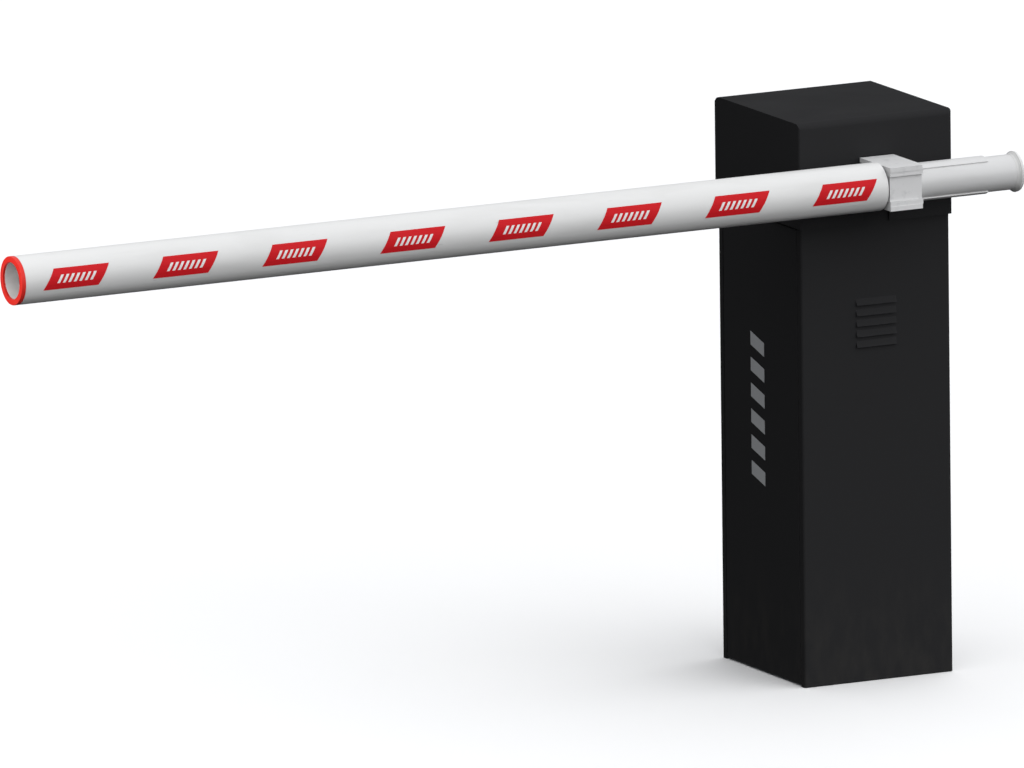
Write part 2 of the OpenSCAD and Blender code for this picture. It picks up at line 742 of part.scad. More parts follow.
// An arm in the plane of the levers, from its shaft at height z, at an angle above +X
module arm(y0, y1, z, angle, reach, half) {
    translate([0, 0, z]) rotate([0, -angle, 0]) block(0, reach, y0, y1, -half, half);
}

// A lever: its hub reaches back to y_hub, and its boss holds a pin at the throw
module lever(y0, y1, y_hub, z, hub) {
    along_y(hub, y0, y_hub, 0, z);
    arm(y0 + 1, y1 - 1, z, lever_angle, throw, waist);
    along_y(eye_r, y0, y1, pin_x, z + pin_z);
}

module key_slot(y0, y1, z) {
    block(-key_w / 2 - seat, key_w / 2 + seat, y0, y1,
          z + shaft_d / 2 - key_in - seat, z + shaft_d / 2 + key_out + 0.2);
}

// The three stretches of shaft that carry a key: holder, drive lever and spring lever
function key_spans() = [
    [shaft_front + 3, holder_back - 3],
    [arm_y0 + 2, arm_y1 + 8],
    [spring_arm_y0 + 1, spring_hub_y1 - 2]
];

module main_shaft() color("#c5c8cb") difference() {
    along_y(shaft_d / 2, shaft_front, shaft_rear, 0, shaft_z);
    for (k = key_spans()) key_slot(k[0], k[1], shaft_z);
    difference() {
        along_y(shaft_d / 2 + 1, rear_boss1 + 0.4, rear_boss1 + 2.2, 0, shaft_z);
        along_y(shaft_d / 2 - 1.25, rear_boss1, rear_boss1 + 3, 0, shaft_z);
    }
}

module shaft_keys() color("#9fa2a5") {
    for (k = key_spans())
        block(-key_w / 2, key_w / 2, k[0] + 0.1, k[1] - 0.1,
              shaft_z + shaft_d / 2 - key_in, shaft_z + shaft_d / 2 + key_out);
    difference() {
        along_y(shaft_d / 2 + 4, rear_boss1 + 0.5, rear_boss1 + 2.1, 0, shaft_z);
        along_y(shaft_d / 2 - 1.2, rear_boss1, rear_boss1 + 3, 0, shaft_z);
        block(-3, 3, rear_boss1, rear_boss1 + 3, shaft_z - shaft_d, shaft_z);
    }
}

module drive_lever() color("#7d8286") difference() {
    lever(arm_y0, arm_y1, arm_y1 + 10, shaft_z, hub_r);
    along_y(shaft_d / 2 + seat, arm_y0 - 1, arm_y1 + 11, 0, shaft_z);
    key_slot(arm_y0 - 1, arm_y1 + 11, shaft_z);
    along_y(pin_d / 2 + seat, arm_y0 - 1, arm_y1 + 1, pin_x, shaft_z + pin_z);
}

module link_pin(y_head, y_end, z) {
    along_y(pin_d / 2 + 3, y_head - 4, y_head, pin_x, z);
    along_y(pin_d / 2, y_head, y_end, pin_x, z);
    difference() {
        along_y(pin_d / 2 + 3.5, y_end - 3.5, y_end - 1.5, pin_x, z);
        along_y(pin_d / 2, y_end - 4, y_end - 1, pin_x, z);
    }
}

module lever_pins() color("#d0d2d4") {
    link_pin(arm_y0, eye_y1 + 5, shaft_z + pin_z);
    along_y(pin_d / 2 + 3, spring_arm_y1, spring_arm_y1 + 3, pin_x, shaft_z + pin_z);
    along_y(pin_d / 2, spring_y - spring_eye_w / 2 - 5, spring_arm_y1, pin_x, shaft_z + pin_z);
    difference() {
        along_y(pin_d / 2 + 3.5, spring_y - spring_eye_w / 2 - 3.5, spring_y - spring_eye_w / 2 - 1.5,
                pin_x, shaft_z + pin_z);
        along_y(pin_d / 2, spring_y - spring_eye_w / 2 - 4, spring_y, pin_x, shaft_z + pin_z);
    }
}

module spring_lever() color("#7d8286") difference() {
    union() {
        lever(spring_arm_y0, spring_arm_y1, spring_hub_y1, shaft_z, hub_r);
        arm(spring_arm_y0 + 1, spring_arm_y1 - 1, shaft_z, stop_angle, stop_throw + 14, stop_half);
    }
    along_y(shaft_d / 2 + seat, spring_arm_y0 - 1, spring_hub_y1 + 1, 0, shaft_z);
    key_slot(spring_arm_y0 - 1, spring_hub_y1 + 1, shaft_z);
    along_y(pin_d / 2 + seat, spring_arm_y0 - 1, spring_arm_y1 + 1, pin_x, shaft_z + pin_z);
}

module sensor_cam() color("#e0a92b") difference() {
    upright(cam_y - 5, cam_y + 5) translate([0, shaft_z]) difference() {
        circle(cam_r);
        rotate(225) square([cam_r + 1, cam_r + 1]);
    }
    along_y(shaft_d / 2 + seat, cam_y - 6, cam_y + 6, 0, shaft_z);
}

module crank_arm() color("#7d8286") difference() {
    lever(arm_y0, arm_y1, arm_y1 + 14, crank_z, out_d / 2 + 12);
    along_y(out_d / 2 + seat, arm_y0 - 1, arm_y1 + 15, 0, crank_z);
    block(-4.02, 4.02, arm_y0 - 1, arm_y1 + 15, crank_z, crank_z + out_d / 2 + 3.1);
    along_y(pin_d / 2 + seat, arm_y0 - 1, arm_y1 + 1, pin_x, crank_z + pin_z);
}

module crank_pin() color("#d0d2d4") link_pin(arm_y0, eye_y1 + 5, crank_z + pin_z);

module rod_bar() color("#8a8e92") {
    y = (eye_y0 + eye_y1) / 2;
    z0 = crank_z + pin_z + neck_l;
    z1 = shaft_z + pin_z - neck_l;
    difference() {
        along_z(bar_r, z0, z1, pin_x, y);
        for (z = [z0 - 1, z1 - 30]) along_z(shank_r + seat, z, z + 31, pin_x, y);
    }
    for (z = [z0 - 6, z1]) difference() {
        translate([pin_x, y, z]) hex_head(11, 6);
        along_z(shank_r + seat, z - 1, z + 7, pin_x, y);
    }
}

module rod_end(z, s, clear) {
    y = (eye_y0 + eye_y1) / 2;
    difference() {
        union() {
            along_y(eye_r, eye_y0, eye_y1, pin_x, z);
            along_z(shank_r, min(z, z + s * (neck_l + 26)), max(z, z + s * (neck_l + 26)), pin_x, y);
        }
        along_y(pin_d / 2 + clear, eye_y0 - 1, eye_y1 + 1, pin_x, z);
    }
}

module rod_ends() color("#b4b7ba") {
    rod_end(crank_z + pin_z, 1, run);
    rod_end(shaft_z + pin_z, -1, open_clear);
}

// ---------------------------------------------------------------- balance spring

// One ring of six points around the wire's path, at turn t and height z
function wire_ring(t, z) = [
    for (k = [0 : 5]) let (r = spring_d / 2 + wire_d / 2 * cos(60 * k))
        [r * cos(360 * t), r * sin(360 * t), z + wire_d / 2 * sin(60 * k)]];

module helix(turns, per_turn, l) {
    n = round(turns * per_turn);
    rings = [for (i = [0 : n]) wire_ring(i / per_turn, l * i / n)];
    points = [for (r = rings) for (p = r) p];
    sides = [for (i = [0 : n - 1], k = [0 : 5]) let (a = 6 * i + k, b = 6 * i + (k + 1) % 6)
        each [[a, b, b + 6], [a, b + 6, a + 6]]];
    ends = [[for (k = [5 : -1 : 0]) k], [for (k = [0 : 5]) 6 * n + k]];
    polyhedron(points, concat(sides, ends));
}

module balance_spring() color("#4b6f9c")
    translate([pin_x, spring_y, spring_z0 + wire_d / 2]) helix(spring_turns, 10, spring_l - wire_d);

module spring_rod() color("#b4b7ba") {
    z = shaft_z + pin_z;
    difference() {
        union() {
            along_y(eye_r, spring_y - spring_eye_w / 2, spring_y + spring_eye_w / 2, pin_x, z);
            along_z(rod_r, spring_z1, z - 4, pin_x, spring_y);
            along_z(spring_d / 2 + wire_d / 2 + 2, spring_z1 + 0.3, spring_z1 + 6, pin_x, spring_y);
            along_z(plug_r, spring_z1 - 18, spring_z1 + 6, pin_x, spring_y);
        }
        along_y(pin_d / 2 + run, spring_y - spring_eye_w, spring_y + spring_eye_w, pin_x, z);
    }
}

module spring_anchor() color("#55585b") difference() {
    union() {
        block(pin_x - 32, pin_x + 32, spring_y - 28, spring_y + 28, anchor_top - 8, anchor_top);
        for (s = [-1, 1]) translate([s * 29, 0, 0])
            block(pin_x - 3, pin_x + 3, spring_y - 28, spring_y + 28, base_t, anchor_top - 8);
    }
    along_z(rod_r + 0.3, anchor_top - 9, anchor_top + 1, pin_x, spring_y);
}

module tension_bolt() color("#b9bcc0") {
    along_z(rod_r, anchor_top - 30, spring_z0 - 6, pin_x, spring_y);
    along_z(spring_d / 2 + wire_d / 2 + 2, spring_z0 - 6, spring_z0 - 0.3, pin_x, spring_y);
    along_z(plug_r, spring_z0 - 6, spring_z0 + 18, pin_x, spring_y);
    for (z = [anchor_top, anchor_top - 16]) difference() {
        translate([pin_x, spring_y, z]) hex_head(10, 8);
        along_z(rod_r, z - 1, z + 9, pin_x, spring_y);
    }
}

// ---------------------------------------------------------------- control box

box_x1 = in_x - 3;
box_x0 = box_x1 - box_d;
box_y0 = -in_y + 25;
box_y1 = box_y0 + box_w;
box_z1 = box_z0 + box_h;
lid_t = 16;

module box_shell(x0, x1, open_low) difference() {
    block(x0, x1, box_y0, box_y1, box_z0, box_z1);
    block(open_low ? x0 - 1 : x0 + box_wall, open_low ? x1 - box_wall : x1 + 1,
          box_y0 + box_wall, box_y1 - box_wall, box_z0 + box_wall, box_z1 - box_wall);
}

function box_corners(m) = [for (y = [box_y0 + m, box_y1 - m], z = [box_z0 + m, box_z1 - m]) [y, z]];

module control_box() color("#c9cbcc") difference() {
    union() {
        box_shell(box_x0 + lid_t, box_x1, true);
        for (c = box_corners(20)) along_x(6, box_x1 - 0.01, in_x, c[0], c[1]);
        for (c = box_corners(28)) along_x(4, box_x1 - 12, box_x1 - box_wall, c[0], c[1]);
    }
    for (y = gland_places()) along_z(8 + seat, box_z0 - 1, box_z0 + box_wall + 1, box_x1 - 22, y);
}

function gland_places() = [for (k = [-1 : 1]) (box_y0 + box_y1) / 2 + 34 * k];

module control_lid() color("#d6d8d9") {
    difference() {
        box_shell(box_x0, box_x0 + lid_t - 0.2, false);
        for (c = box_corners(7)) along_x(3, box_x0 - 1, box_x0 + 2, c[0], c[1]);
    }
    for (c = box_corners(7)) along_x(2.6, box_x0 - 1.2, box_x0 + 2, c[0], c[1]);
}

module control_board() color("#1f6a3c") {
    x = box_x1 - 12;
    block(x - 1.6, x, box_y0 + 14, box_y1 - 14, box_z0 + 16, box_z1 - 16);
    // transformer, relays, terminal strip and capacitors
    block(x - 34, x - 1.6, box_y0 + 24, box_y0 + 74, box_z1 - 76, box_z1 - 30);
    for (i = [0 : 2]) translate([0, 0, -24 * i])
        block(x - 18, x - 1.6, box_y1 - 60, box_y1 - 34, box_z1 - 54, box_z1 - 36);
    for (i = [0 : 8]) translate([0, 14 * i, 0])
        block(x - 14, x - 1.6, box_y0 + 22, box_y0 + 34, box_z0 + 20, box_z0 + 34);
    for (i = [0 : 1]) along_x(9, x - 28, x - 1.6, box_y0 + 40 + 26 * i, box_z0 + 80);
}

module cable_glands() color("#2b2c2e") {
    for (y = gland_places()) difference() {
        union() {
            translate([box_x1 - 22, y, box_z0 - 5]) hex_head(12, 5);
            along_z(9, box_z0 - 14, box_z0 - 5, box_x1 - 22, y);
            along_z(8, box_z0 - 5, box_z0 + 9, box_x1 - 22, y);
        }
        along_z(5, box_z0 - 15, box_z0 + 10, box_x1 - 22, y);
    }
}

// ---------------------------------------------------------------- boom

module lip_row(top) {
    for (i = [0, 1]) {
        z = shaft_z + (top ? 1 : -1) * (holder_h / 2 - lip_h * (i + 0.5));
        block(-holder_l / 2, holder_l / 2 - lip_trim * (2 - i), holder_front + lip_in * i, boom_y,
              z - lip_h / 2 - lap, z + lip_h / 2 + lap);
    }
}

module boom_holder() color("#c9cacb") difference() {
    union() {
        block(-holder_l / 2, holder_l / 2, seat_front, holder_back,
              shaft_z - holder_h / 2, shaft_z + holder_h / 2);
        lip_row(true);
        lip_row(false);
    }
    for (s = [0, 1]) mirror([s, 0, 0])
        block(-holder_l, -holder_l / 2 + web_in, web_front, holder_back + 1,
              shaft_z - holder_h / 2 + lip_h, shaft_z + holder_h / 2 - lip_h);
    along_x(tail_d / 2 + seat, -holder_l, holder_l, boom_y, shaft_z);
    key_pads(-holder_l, holder_l, rib_clear);
    along_y(shaft_d / 2 + seat, shaft_front, holder_back + 1, 0, shaft_z);
    key_slot(shaft_front, holder_back + 1, shaft_z);
    for (y = [holder_back - 9, holder_back - 24])
        along_z(5 + seat, shaft_z - holder_h / 2 - 1, shaft_z, 0, y);
}

module holder_cover() color("#bfc1c2") difference() {
    block(-holder_l / 2 + 1, holder_l / 2 - 2, holder_front + cover_in, seat_front,
          shaft_z - holder_h / 2 + 2 * lip_h + 0.2, shaft_z + holder_h / 2 - 2 * lip_h - 0.2);
    along_x(tail_d / 2 + seat, -holder_l, holder_l, boom_y, shaft_z);
}

module boom_screws() color("#b9bcc0") {
    for (y = [holder_back - 9, holder_back - 24]) difference() {
        along_z(5, shaft_z - holder_h / 2, shaft_z - shaft_d / 2 - 0.1, 0, y);
        translate([0, y, shaft_z - holder_h / 2 - 1]) hex_head(3, 5);
    }
    for (x = screw_places()) {
        along_y(4, boom_y + tail_d / 2 - tail_wall, boom_y + boom_d / 2, x, shaft_z);
        along_y(7, boom_y + boom_d / 2, boom_y + boom_d / 2 + 4.5, x, shaft_z);
    }
}

function screw_places() = [boom_end - 35, boom_end - tail_in + 35];

module boom_tube() color("#f2f2f0") difference() {
    along_x(boom_d / 2, boom_tip, boom_end, boom_y, shaft_z);
    along_x(boom_d / 2 - boom_wall, boom_tip - 1, boom_end + 1, boom_y, shaft_z);
    for (x = screw_places()) along_y(4 + seat, boom_y, boom_y + boom_d, x, shaft_z);
}

module end_ring() color("#d9321f") difference() {
    union() {
        along_x(boom_d / 2, boom_tip - ring_lip, boom_tip, boom_y, shaft_z);
        along_x(boom_d / 2 - boom_wall - seat, boom_tip - 1, boom_tip + 22, boom_y, shaft_z);
    }
    along_x(ring_bore / 2, boom_tip - ring_lip - 1, boom_tip + 23, boom_y, shaft_z);
}

module label_outline() {
    h = boom_d / 2 * sin(label_half);
    polygon([[-label_l / 2 - label_lean, -h], [label_l / 2 - label_lean, -h],
             [label_l / 2 + label_lean, h], [-label_l / 2 + label_lean, h]]);
}

module boom_labels() color("#c3202f") intersection() {
    difference() {
        along_x(boom_d / 2 + 0.4, boom_tip, boom_end, boom_y, shaft_z);
        along_x(boom_d / 2 + seat, boom_tip - 1, boom_end + 1, boom_y, shaft_z);
    }
    for (i = [0 : label_count - 1])
        upright(boom_y - boom_d, boom_y)
            translate([boom_end - label_first - i * label_pitch - (i >= label_run ? label_split : 0),
                       shaft_z + label_up])
                label_outline();
}

// The two key ribs, on top of the tail tube and under it, with a clearance around them for their slots
module key_pads(x0, x1, clear) intersection() {
    along_x(tail_d / 2 + rib_h + clear, x0, x1, boom_y, shaft_z);
    translate([x0, boom_y, shaft_z]) rotate([90, 0, 90]) linear_extrude(x1 - x0) for (s = [-1, 1]) {
        low = tail_d / 3;
        high = tail_d;
        side = tan(rib_half);
        polygon([[-low * side - clear, s * low], [low * side + clear, s * low],
                 [high * side + clear, s * high], [-high * side - clear, s * high]]);
    }
}

module tail_tube() color("#e8e8e6") difference() {
    union() {
        along_x(tail_d / 2, boom_end - tail_in, tail_end, boom_y, shaft_z);
        key_pads(-holder_l / 2, holder_l / 2 + rib_out, 0);
    }
    along_x(tail_d / 2 - tail_wall, boom_end - tail_in - 1, tail_end + 1, boom_y, shaft_z);
    for (x = screw_places()) along_y(4 + seat, boom_y, boom_y + boom_d, x, shaft_z);
}

module adapter_bushes() color("#3a3c3f") {
    for (x = screw_places()) difference() {
        along_x(boom_d / 2 - boom_wall - seat, x - 16, x + 16, boom_y, shaft_z);
        along_x(tail_d / 2 + seat, x - 17, x + 17, boom_y, shaft_z);
        along_y(4 + seat, boom_y, boom_y + boom_d, x, shaft_z);
    }
}

module end_plug() color("#dededc") translate([tail_end, boom_y, shaft_z]) rotate([0, 90, 0])
    rotate_extrude() polygon([
        [0, -plug_in], [tail_d / 2 - tail_wall - seat, -plug_in], [tail_d / 2 - tail_wall - seat, 0],
        [tail_d / 2, 0], [plug_d / 2 - 1.5, 5], [plug_d / 2 - 1.5, 6], [plug_d / 2, 6.8],
        [plug_d / 2, 8.2], [plug_d / 2 - 1, 9], [plug_d / 2 - 1, 11], [plug_d / 2 - 4, plug_out],
        [0, plug_out]]);

// ---------------------------------------------------------------- hood, door and their locks

lock_x = -60;
lock_z = body_top + 35;

// The hood's outline from its side, with each end bent down at its own radius
module hood_profile(d, h, front, back) {
    translate([-d / 2, -1]) square([d / 2, h - front + 1]);
    translate([0, -1]) square([d / 2, h - back + 1]);
    translate([-d / 2 + front, 0]) square([d - front - back, h]);
    translate([-d / 2 + front, h - front]) circle(front);
    translate([d / 2 - back, h - back]) circle(back);
}

// The hood's outer form, or the space inside it, one sheet smaller on every side
module hood_form(inset, z0) intersection() {
    translate([0, 0, hood_z0]) rotate([90, 0, 90]) linear_extrude(3 * hood_x, center = true)
        hood_profile(2 * (hood_y - inset), hood_h - inset, bend_front - inset, bend_back - inset);
    translate([0, 0, z0]) linear_extrude(total_h)
        round_rect(2 * (hood_x - inset), 2 * (hood_y - inset), bend_r - inset);
}

module hood() color("#2f3032") difference() {
    union() {
        difference() {
            hood_form(0, hood_z0);
            hood_form(sheet, hood_z0 - 5);
        }
        for (s = [-1, 1]) mirror([s > 0 ? 1 : 0, 0, 0])
            block(-hood_x + sheet - 0.5, -hood_x + sheet + 22, -60, 60,
                  body_top + seal_t, body_top + seal_t + sheet);
    }
    block(-slot_w / 2, slot_w / 2, -hood_y - 1, -hood_y + sheet + 1, hood_z0 - 1, shaft_z);
    along_y(slot_w / 2, -hood_y - 1, -hood_y + sheet + 1, 0, shaft_z);
    along_y(9 + seat, hood_y - sheet - 1, hood_y + 1, lock_x, lock_z);
}

module hood_lock() color("#b9bcc0") difference() {
    union() {
        along_y(9 - run, in_y - 4, hood_y + 1, lock_x, lock_z);
        along_y(12, hood_y + 0.3, hood_y + 4, lock_x, lock_z);
        upright(in_y - 7, in_y - 4) translate([lock_x, lock_z]) {
            circle(9);
            translate([-6, -28]) square([12, 28]);
        }
    }
    block(lock_x - 1, lock_x + 1, hood_y + 1, hood_y + 5, lock_z - 5, lock_z + 5);
}

module door() color("#252628") difference() {
    union() {
        translate([0, 0, door_z0]) linear_extrude(door_top - door_z0) difference() {
            intersection() {
                translate([door_x + rim, 0]) round_rect(2 * rim, 2 * door_half, 2);
                translate([door_x - 1, -door_half - 1]) square([rim + 1, 2 * door_half + 2]);
            }
            translate([door_x + sheet, -door_half + sheet]) square([rim, 2 * (door_half - sheet)]);
        }
        for (z = [base_t + 6.2, door_top - sheet])
            block(door_x + sheet / 2, door_x + rim, -door_half + sheet / 2, door_half - sheet / 2,
                  z, z + sheet);
    }
    block(door_x + sheet, door_x + rim + 1, -door_half - 1, door_half + 1, door_z0 - 1, base_t + 2);
    for (z = [base_t, door_top - 6]) along_z(pivot_d / 2 + run, z, z + 12, pivot_x, pivot_y);
    along_z(bolt_d / 2 + 0.5, door_top - 6, door_top + 1, pivot_x, bolt_y);
}

module door_marks() color("#9a9c9e") {
    for (i = [0 : mark_count - 1])
        translate([door_x - mark_t, mark_y, mark_z + (i - (mark_count - 1) / 2) * mark_pitch])
            rotate([90, 0, 90]) linear_extrude(mark_t)
                polygon([[-mark_w / 2, -mark_h / 2 - mark_lean], [mark_w / 2, -mark_h / 2 + mark_lean],
                         [mark_w / 2, mark_h / 2 + mark_lean], [-mark_w / 2, mark_h / 2 - mark_lean]]);
}

module door_bolt() color("#c2c5c8") {
    z0 = hood_z0 - 1;
    knob_z = body_top + bolt_travel + 2;
    along_z(bolt_d / 2, z0, knob_z, pivot_x, bolt_y);
    along_z(bolt_d, knob_z, knob_z + 8, pivot_x, bolt_y);
}

cabinet_body();
base_plate();
support_rails();
drive_frame();
frame_bolts();
vent_screen();
hood_seals();
pivot_pins();
bearing_housings();
bronze_bushes();
bearing_bolts();
stop_rollers();
sensor_bracket();
limit_sensors();
gearbox_housing();
gearbox_cover();
gearbox_bolts();
release_lever();
motor_casing();
stator_core();
motor_end_shield();
motor_bearings();
fan_cover();
terminal_box();
capacitor();
balance_spring();
spring_anchor();
tension_bolt();
control_box();
control_lid();
control_board();
cable_glands();
main_shaft();
shaft_keys();
drive_lever();
lever_pins();
spring_lever();
sensor_cam();
boom_holder();
holder_cover();
boom_tube();
end_ring();
boom_labels();
tail_tube();
adapter_bushes();
boom_screws();
end_plug();
output_shaft();
crank_arm();
crank_pin();
worm_wheel();
rod_bar();
rod_ends();
worm_rotor();
spring_rod();
hood();
hood_lock();
door();
door_marks();
door_bolt();
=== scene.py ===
# Parking barrier gate: a folded-steel cabinet with a geared drive inside, and a round boom on its front.
# Metres, +Z up, the boom along -X at rest, the cabinet's front towards -Y.
import json
import math
import random

import bmesh
import bpy
from mathutils import Matrix, Vector


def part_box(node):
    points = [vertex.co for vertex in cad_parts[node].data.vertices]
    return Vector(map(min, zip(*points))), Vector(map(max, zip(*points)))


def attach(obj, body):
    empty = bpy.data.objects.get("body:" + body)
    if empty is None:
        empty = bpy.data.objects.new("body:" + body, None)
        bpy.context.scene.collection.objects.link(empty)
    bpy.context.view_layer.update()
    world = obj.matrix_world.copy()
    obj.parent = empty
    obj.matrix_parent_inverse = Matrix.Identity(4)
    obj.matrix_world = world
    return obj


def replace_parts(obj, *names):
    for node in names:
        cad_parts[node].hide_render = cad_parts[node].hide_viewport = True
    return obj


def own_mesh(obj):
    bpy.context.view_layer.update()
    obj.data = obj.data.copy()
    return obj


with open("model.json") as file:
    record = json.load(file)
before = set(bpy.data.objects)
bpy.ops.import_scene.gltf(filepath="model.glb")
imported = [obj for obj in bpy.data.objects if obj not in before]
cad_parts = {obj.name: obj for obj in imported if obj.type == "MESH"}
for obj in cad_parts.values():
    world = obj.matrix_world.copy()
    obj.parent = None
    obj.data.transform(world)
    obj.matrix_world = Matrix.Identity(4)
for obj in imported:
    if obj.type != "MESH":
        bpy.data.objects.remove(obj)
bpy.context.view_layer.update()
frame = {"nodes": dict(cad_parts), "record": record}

MM = 0.001
nodes = frame["nodes"]
scene = bpy.context.scene
dice = random.Random(7)


# ---------------------------------------------------------------- shading tools

def to_linear(colour):
    """An sRGB hex colour as the linear colour that a shader takes."""
    channels = [int(colour[i:i + 2], 16) / 255 for i in (1, 3, 5)]
    linear = [c / 12.92 if c <= 0.04045 else ((c + 0.055) / 1.055) ** 2.4 for c in channels]
    return linear + [1.0]


def per_mm(size):
    """The texture scale whose pattern repeats about every size millimetres."""
    return 1 / (size * MM)


def add(tree, kind, inputs=None, **settings):
    """Adds a node with its settings, its inputs given as values or as outputs to link."""
    node = tree.nodes.new("ShaderNode" + kind)
    for name, value in settings.items():
        setattr(node, name, value)
    for socket, value in (inputs or {}).items():
        if isinstance(value, bpy.types.NodeSocket):
            tree.links.new(value, node.inputs[socket])
        else:
            node.inputs[socket].default_value = value
    return node


class Finish:
    """A material with one shader, and the place on the object, in metres, that its patterns use."""

    def __init__(self, name, colour, roughness, **sockets):
        self.material = bpy.data.materials.new(name)
        self.material.use_nodes = True
        self.tree = self.material.node_tree
        self.tree.nodes.clear()
        self.shader = self.add("BsdfPrincipled", {"Base Color": to_linear(colour), "Roughness": roughness})
        for socket, value in sockets.items():
            self.shader.inputs[socket.replace("_", " ")].default_value = value
        self.add("OutputMaterial", {"Surface": self.shader.outputs[0]})
        self.place = self.add("TexCoord").outputs["Object"]
        self.colour = to_linear(colour)

    def add(self, kind, inputs=None, **settings):
        return add(self.tree, kind, inputs, **settings)

    def noise(self, size_mm, detail=3.0, stretch=None, distortion=0.0):
        """Cloudy noise with blots of about that size, stretched by a factor along each axis."""
        place = self.place
        if stretch:
            place = self.add("Mapping", {"Vector": place, "Scale": [1 / s for s in stretch]}).outputs[0]
        texture = self.add("TexNoise", {"Vector": place, "Scale": per_mm(size_mm), "Detail": detail,
                                        "Distortion": distortion})
        return texture.outputs[0]

    def span(self, value, low, high, to_low=0.0, to_high=1.0):
        """Maps low..high of a value to to_low..to_high, and holds it there outside."""
        return self.add("MapRange", {0: value, 1: low, 2: high, 3: to_low, 4: to_high}).outputs[0]

    def times(self, first, second):
        return self.add("Math", {0: first, 1: second}, operation="MULTIPLY").outputs[0]

    def tint(self, mask, colour):
        """Lays a colour over what the shader has, where the mask is 1."""
        under = self.shader.inputs["Base Color"]
        below = under.links[0].from_socket if under.links else self.colour
        mix = self.add("Mix", {0: mask, 6: below, 7: to_linear(colour)}, data_type="RGBA")
        self.tree.links.new(mix.outputs[2], under)

    def patches(self, colour, amount, size_mm, detail, low, high, stretch=None):
        """Lays a colour over blots of noise, full where the noise reaches high."""
        self.tint(self.span(self.noise(size_mm, detail, stretch), low, high, 0.0, amount), colour)

    def rough(self, value, low, high):
        """Roughness from low to high as the value goes from 0.3 to 0.7."""
        self.tree.links.new(self.span(value, 0.3, 0.7, low, high), self.shader.inputs["Roughness"])

    def bump(self, height, depth_mm, strength=1.0):
        """Relief of that depth, on top of what is there."""
        inputs = {"Height": height, "Distance": depth_mm * MM, "Strength": strength}
        normal = self.shader.inputs["Normal"]
        if normal.links:
            inputs["Normal"] = normal.links[0].from_socket
        self.tree.links.new(self.add("Bump", inputs).outputs[0], normal)

    def edges(self, width_mm, full=0.88):
        """A mask of the sharp edges: how far the face turns from the rounded edge there."""
        rounded = self.add("Bevel", {"Radius": width_mm * MM}, samples=4).outputs[0]
        flat = self.add("NewGeometry").outputs["Normal"]
        cosine = self.add("VectorMath", {0: rounded, 1: flat}, operation="DOT_PRODUCT").outputs["Value"]
        return self.span(cosine, 0.985, full)

    def height(self):
        return self.add("SeparateXYZ", {0: self.place}).outputs["Z"]


# ---------------------------------------------------------------- finishes

def baked_coat(name, colour, worn, roughness, peel_mm, specular, wear=0.5, dust=0.0):
    """Polyester powder baked on steel: satin, with an orange-peel skin, softer patches,
    paint rubbed thin along the edges and, on a cabinet, road dust near the ground."""
    coat = Finish(name, colour, roughness, Specular_IOR_Level=specular)
    coat.rough(coat.noise(120, 5), roughness - 0.05, roughness + 0.08)
    # the peel itself is about 1 mm, drawn a little coarser so that it shows
    coat.bump(coat.noise(peel_mm, 2), 0.05, 0.35)
    coat.bump(coat.noise(90, 1), 0.35, 0.12)
    chips = coat.span(coat.noise(7, 4), 0.42, 0.62)
    coat.tint(coat.times(coat.times(coat.edges(1.2, 0.86), chips), wear), worn)
    if dust:
        low = coat.span(coat.height(), 0.22, 0.0)
        cloud = coat.span(coat.noise(26, 5, (1, 1, 2.5)), 0.42, 0.7)
        coat.tint(coat.times(coat.times(low, cloud), dust), "#6f6a60")
    return coat.material


def white_coat(name, colour, grime):
    """White powder coat on drawn aluminium tube: smooth and fairly glossy, with faint draw lines along
    the tube, hazy road grime in streaks and a few dark scuffs from handling."""
    coat = Finish(name, colour, 0.36, Specular_IOR_Level=0.25)
    coat.rough(coat.noise(60, 4, (6, 1, 1)), 0.30, 0.44)
    coat.bump(coat.noise(2.2, 2), 0.03, 0.3)
    coat.bump(coat.noise(5, 2, (60, 1, 1)), 0.03, 0.35)
    streaks = coat.span(coat.noise(38, 6, (4, 1, 1), 0.6), 0.50, 0.78)
    coat.tint(coat.times(streaks, grime), "#8d8a83")
    scuffs = coat.span(coat.noise(9, 3, (7, 1, 1)), 0.70, 0.78)
    coat.tint(coat.times(scuffs, 0.22), "#5c5b59")
    return coat.material


def extruded_aluminium(name, colour):
    """Extruded and shot-blasted aluminium under thin grey paint: a soft grey with die lines along the
    boom, and bare metal where the edges are rubbed."""
    metal = Finish(name, colour, 0.42, Specular_IOR_Level=0.25)
    metal.rough(metal.noise(25, 4, (5, 1, 1)), 0.36, 0.5)
    metal.bump(metal.noise(1.6, 2, (40, 1, 1)), 0.04, 0.5)
    metal.bump(metal.noise(1.4, 3), 0.03, 0.3)
    rubbed = metal.times(metal.edges(0.8), metal.span(metal.noise(5, 3), 0.4, 0.6))
    metal.tint(metal.times(rubbed, 0.6), "#e3e4e5")
    metal.tint(metal.times(metal.span(metal.noise(14, 5), 0.55, 0.75), 0.25), "#8f9092")
    return metal.material


def cast_aluminium(name):
    """Die-cast aluminium as it leaves the die and the blast cabinet: a grainy, greyish metal."""
    metal = Finish(name, "#9b9ea2", 0.5, Metallic=0.9)
    metal.rough(metal.noise(16, 5), 0.42, 0.6)
    metal.bump(metal.noise(1.1, 3), 0.08, 0.6)
    metal.patches("#6d6f71", 0.4, 30, 5, 0.5, 0.8)
    metal.tint(metal.times(metal.edges(1.0), 0.5), "#c6c8ca")
    return metal.material


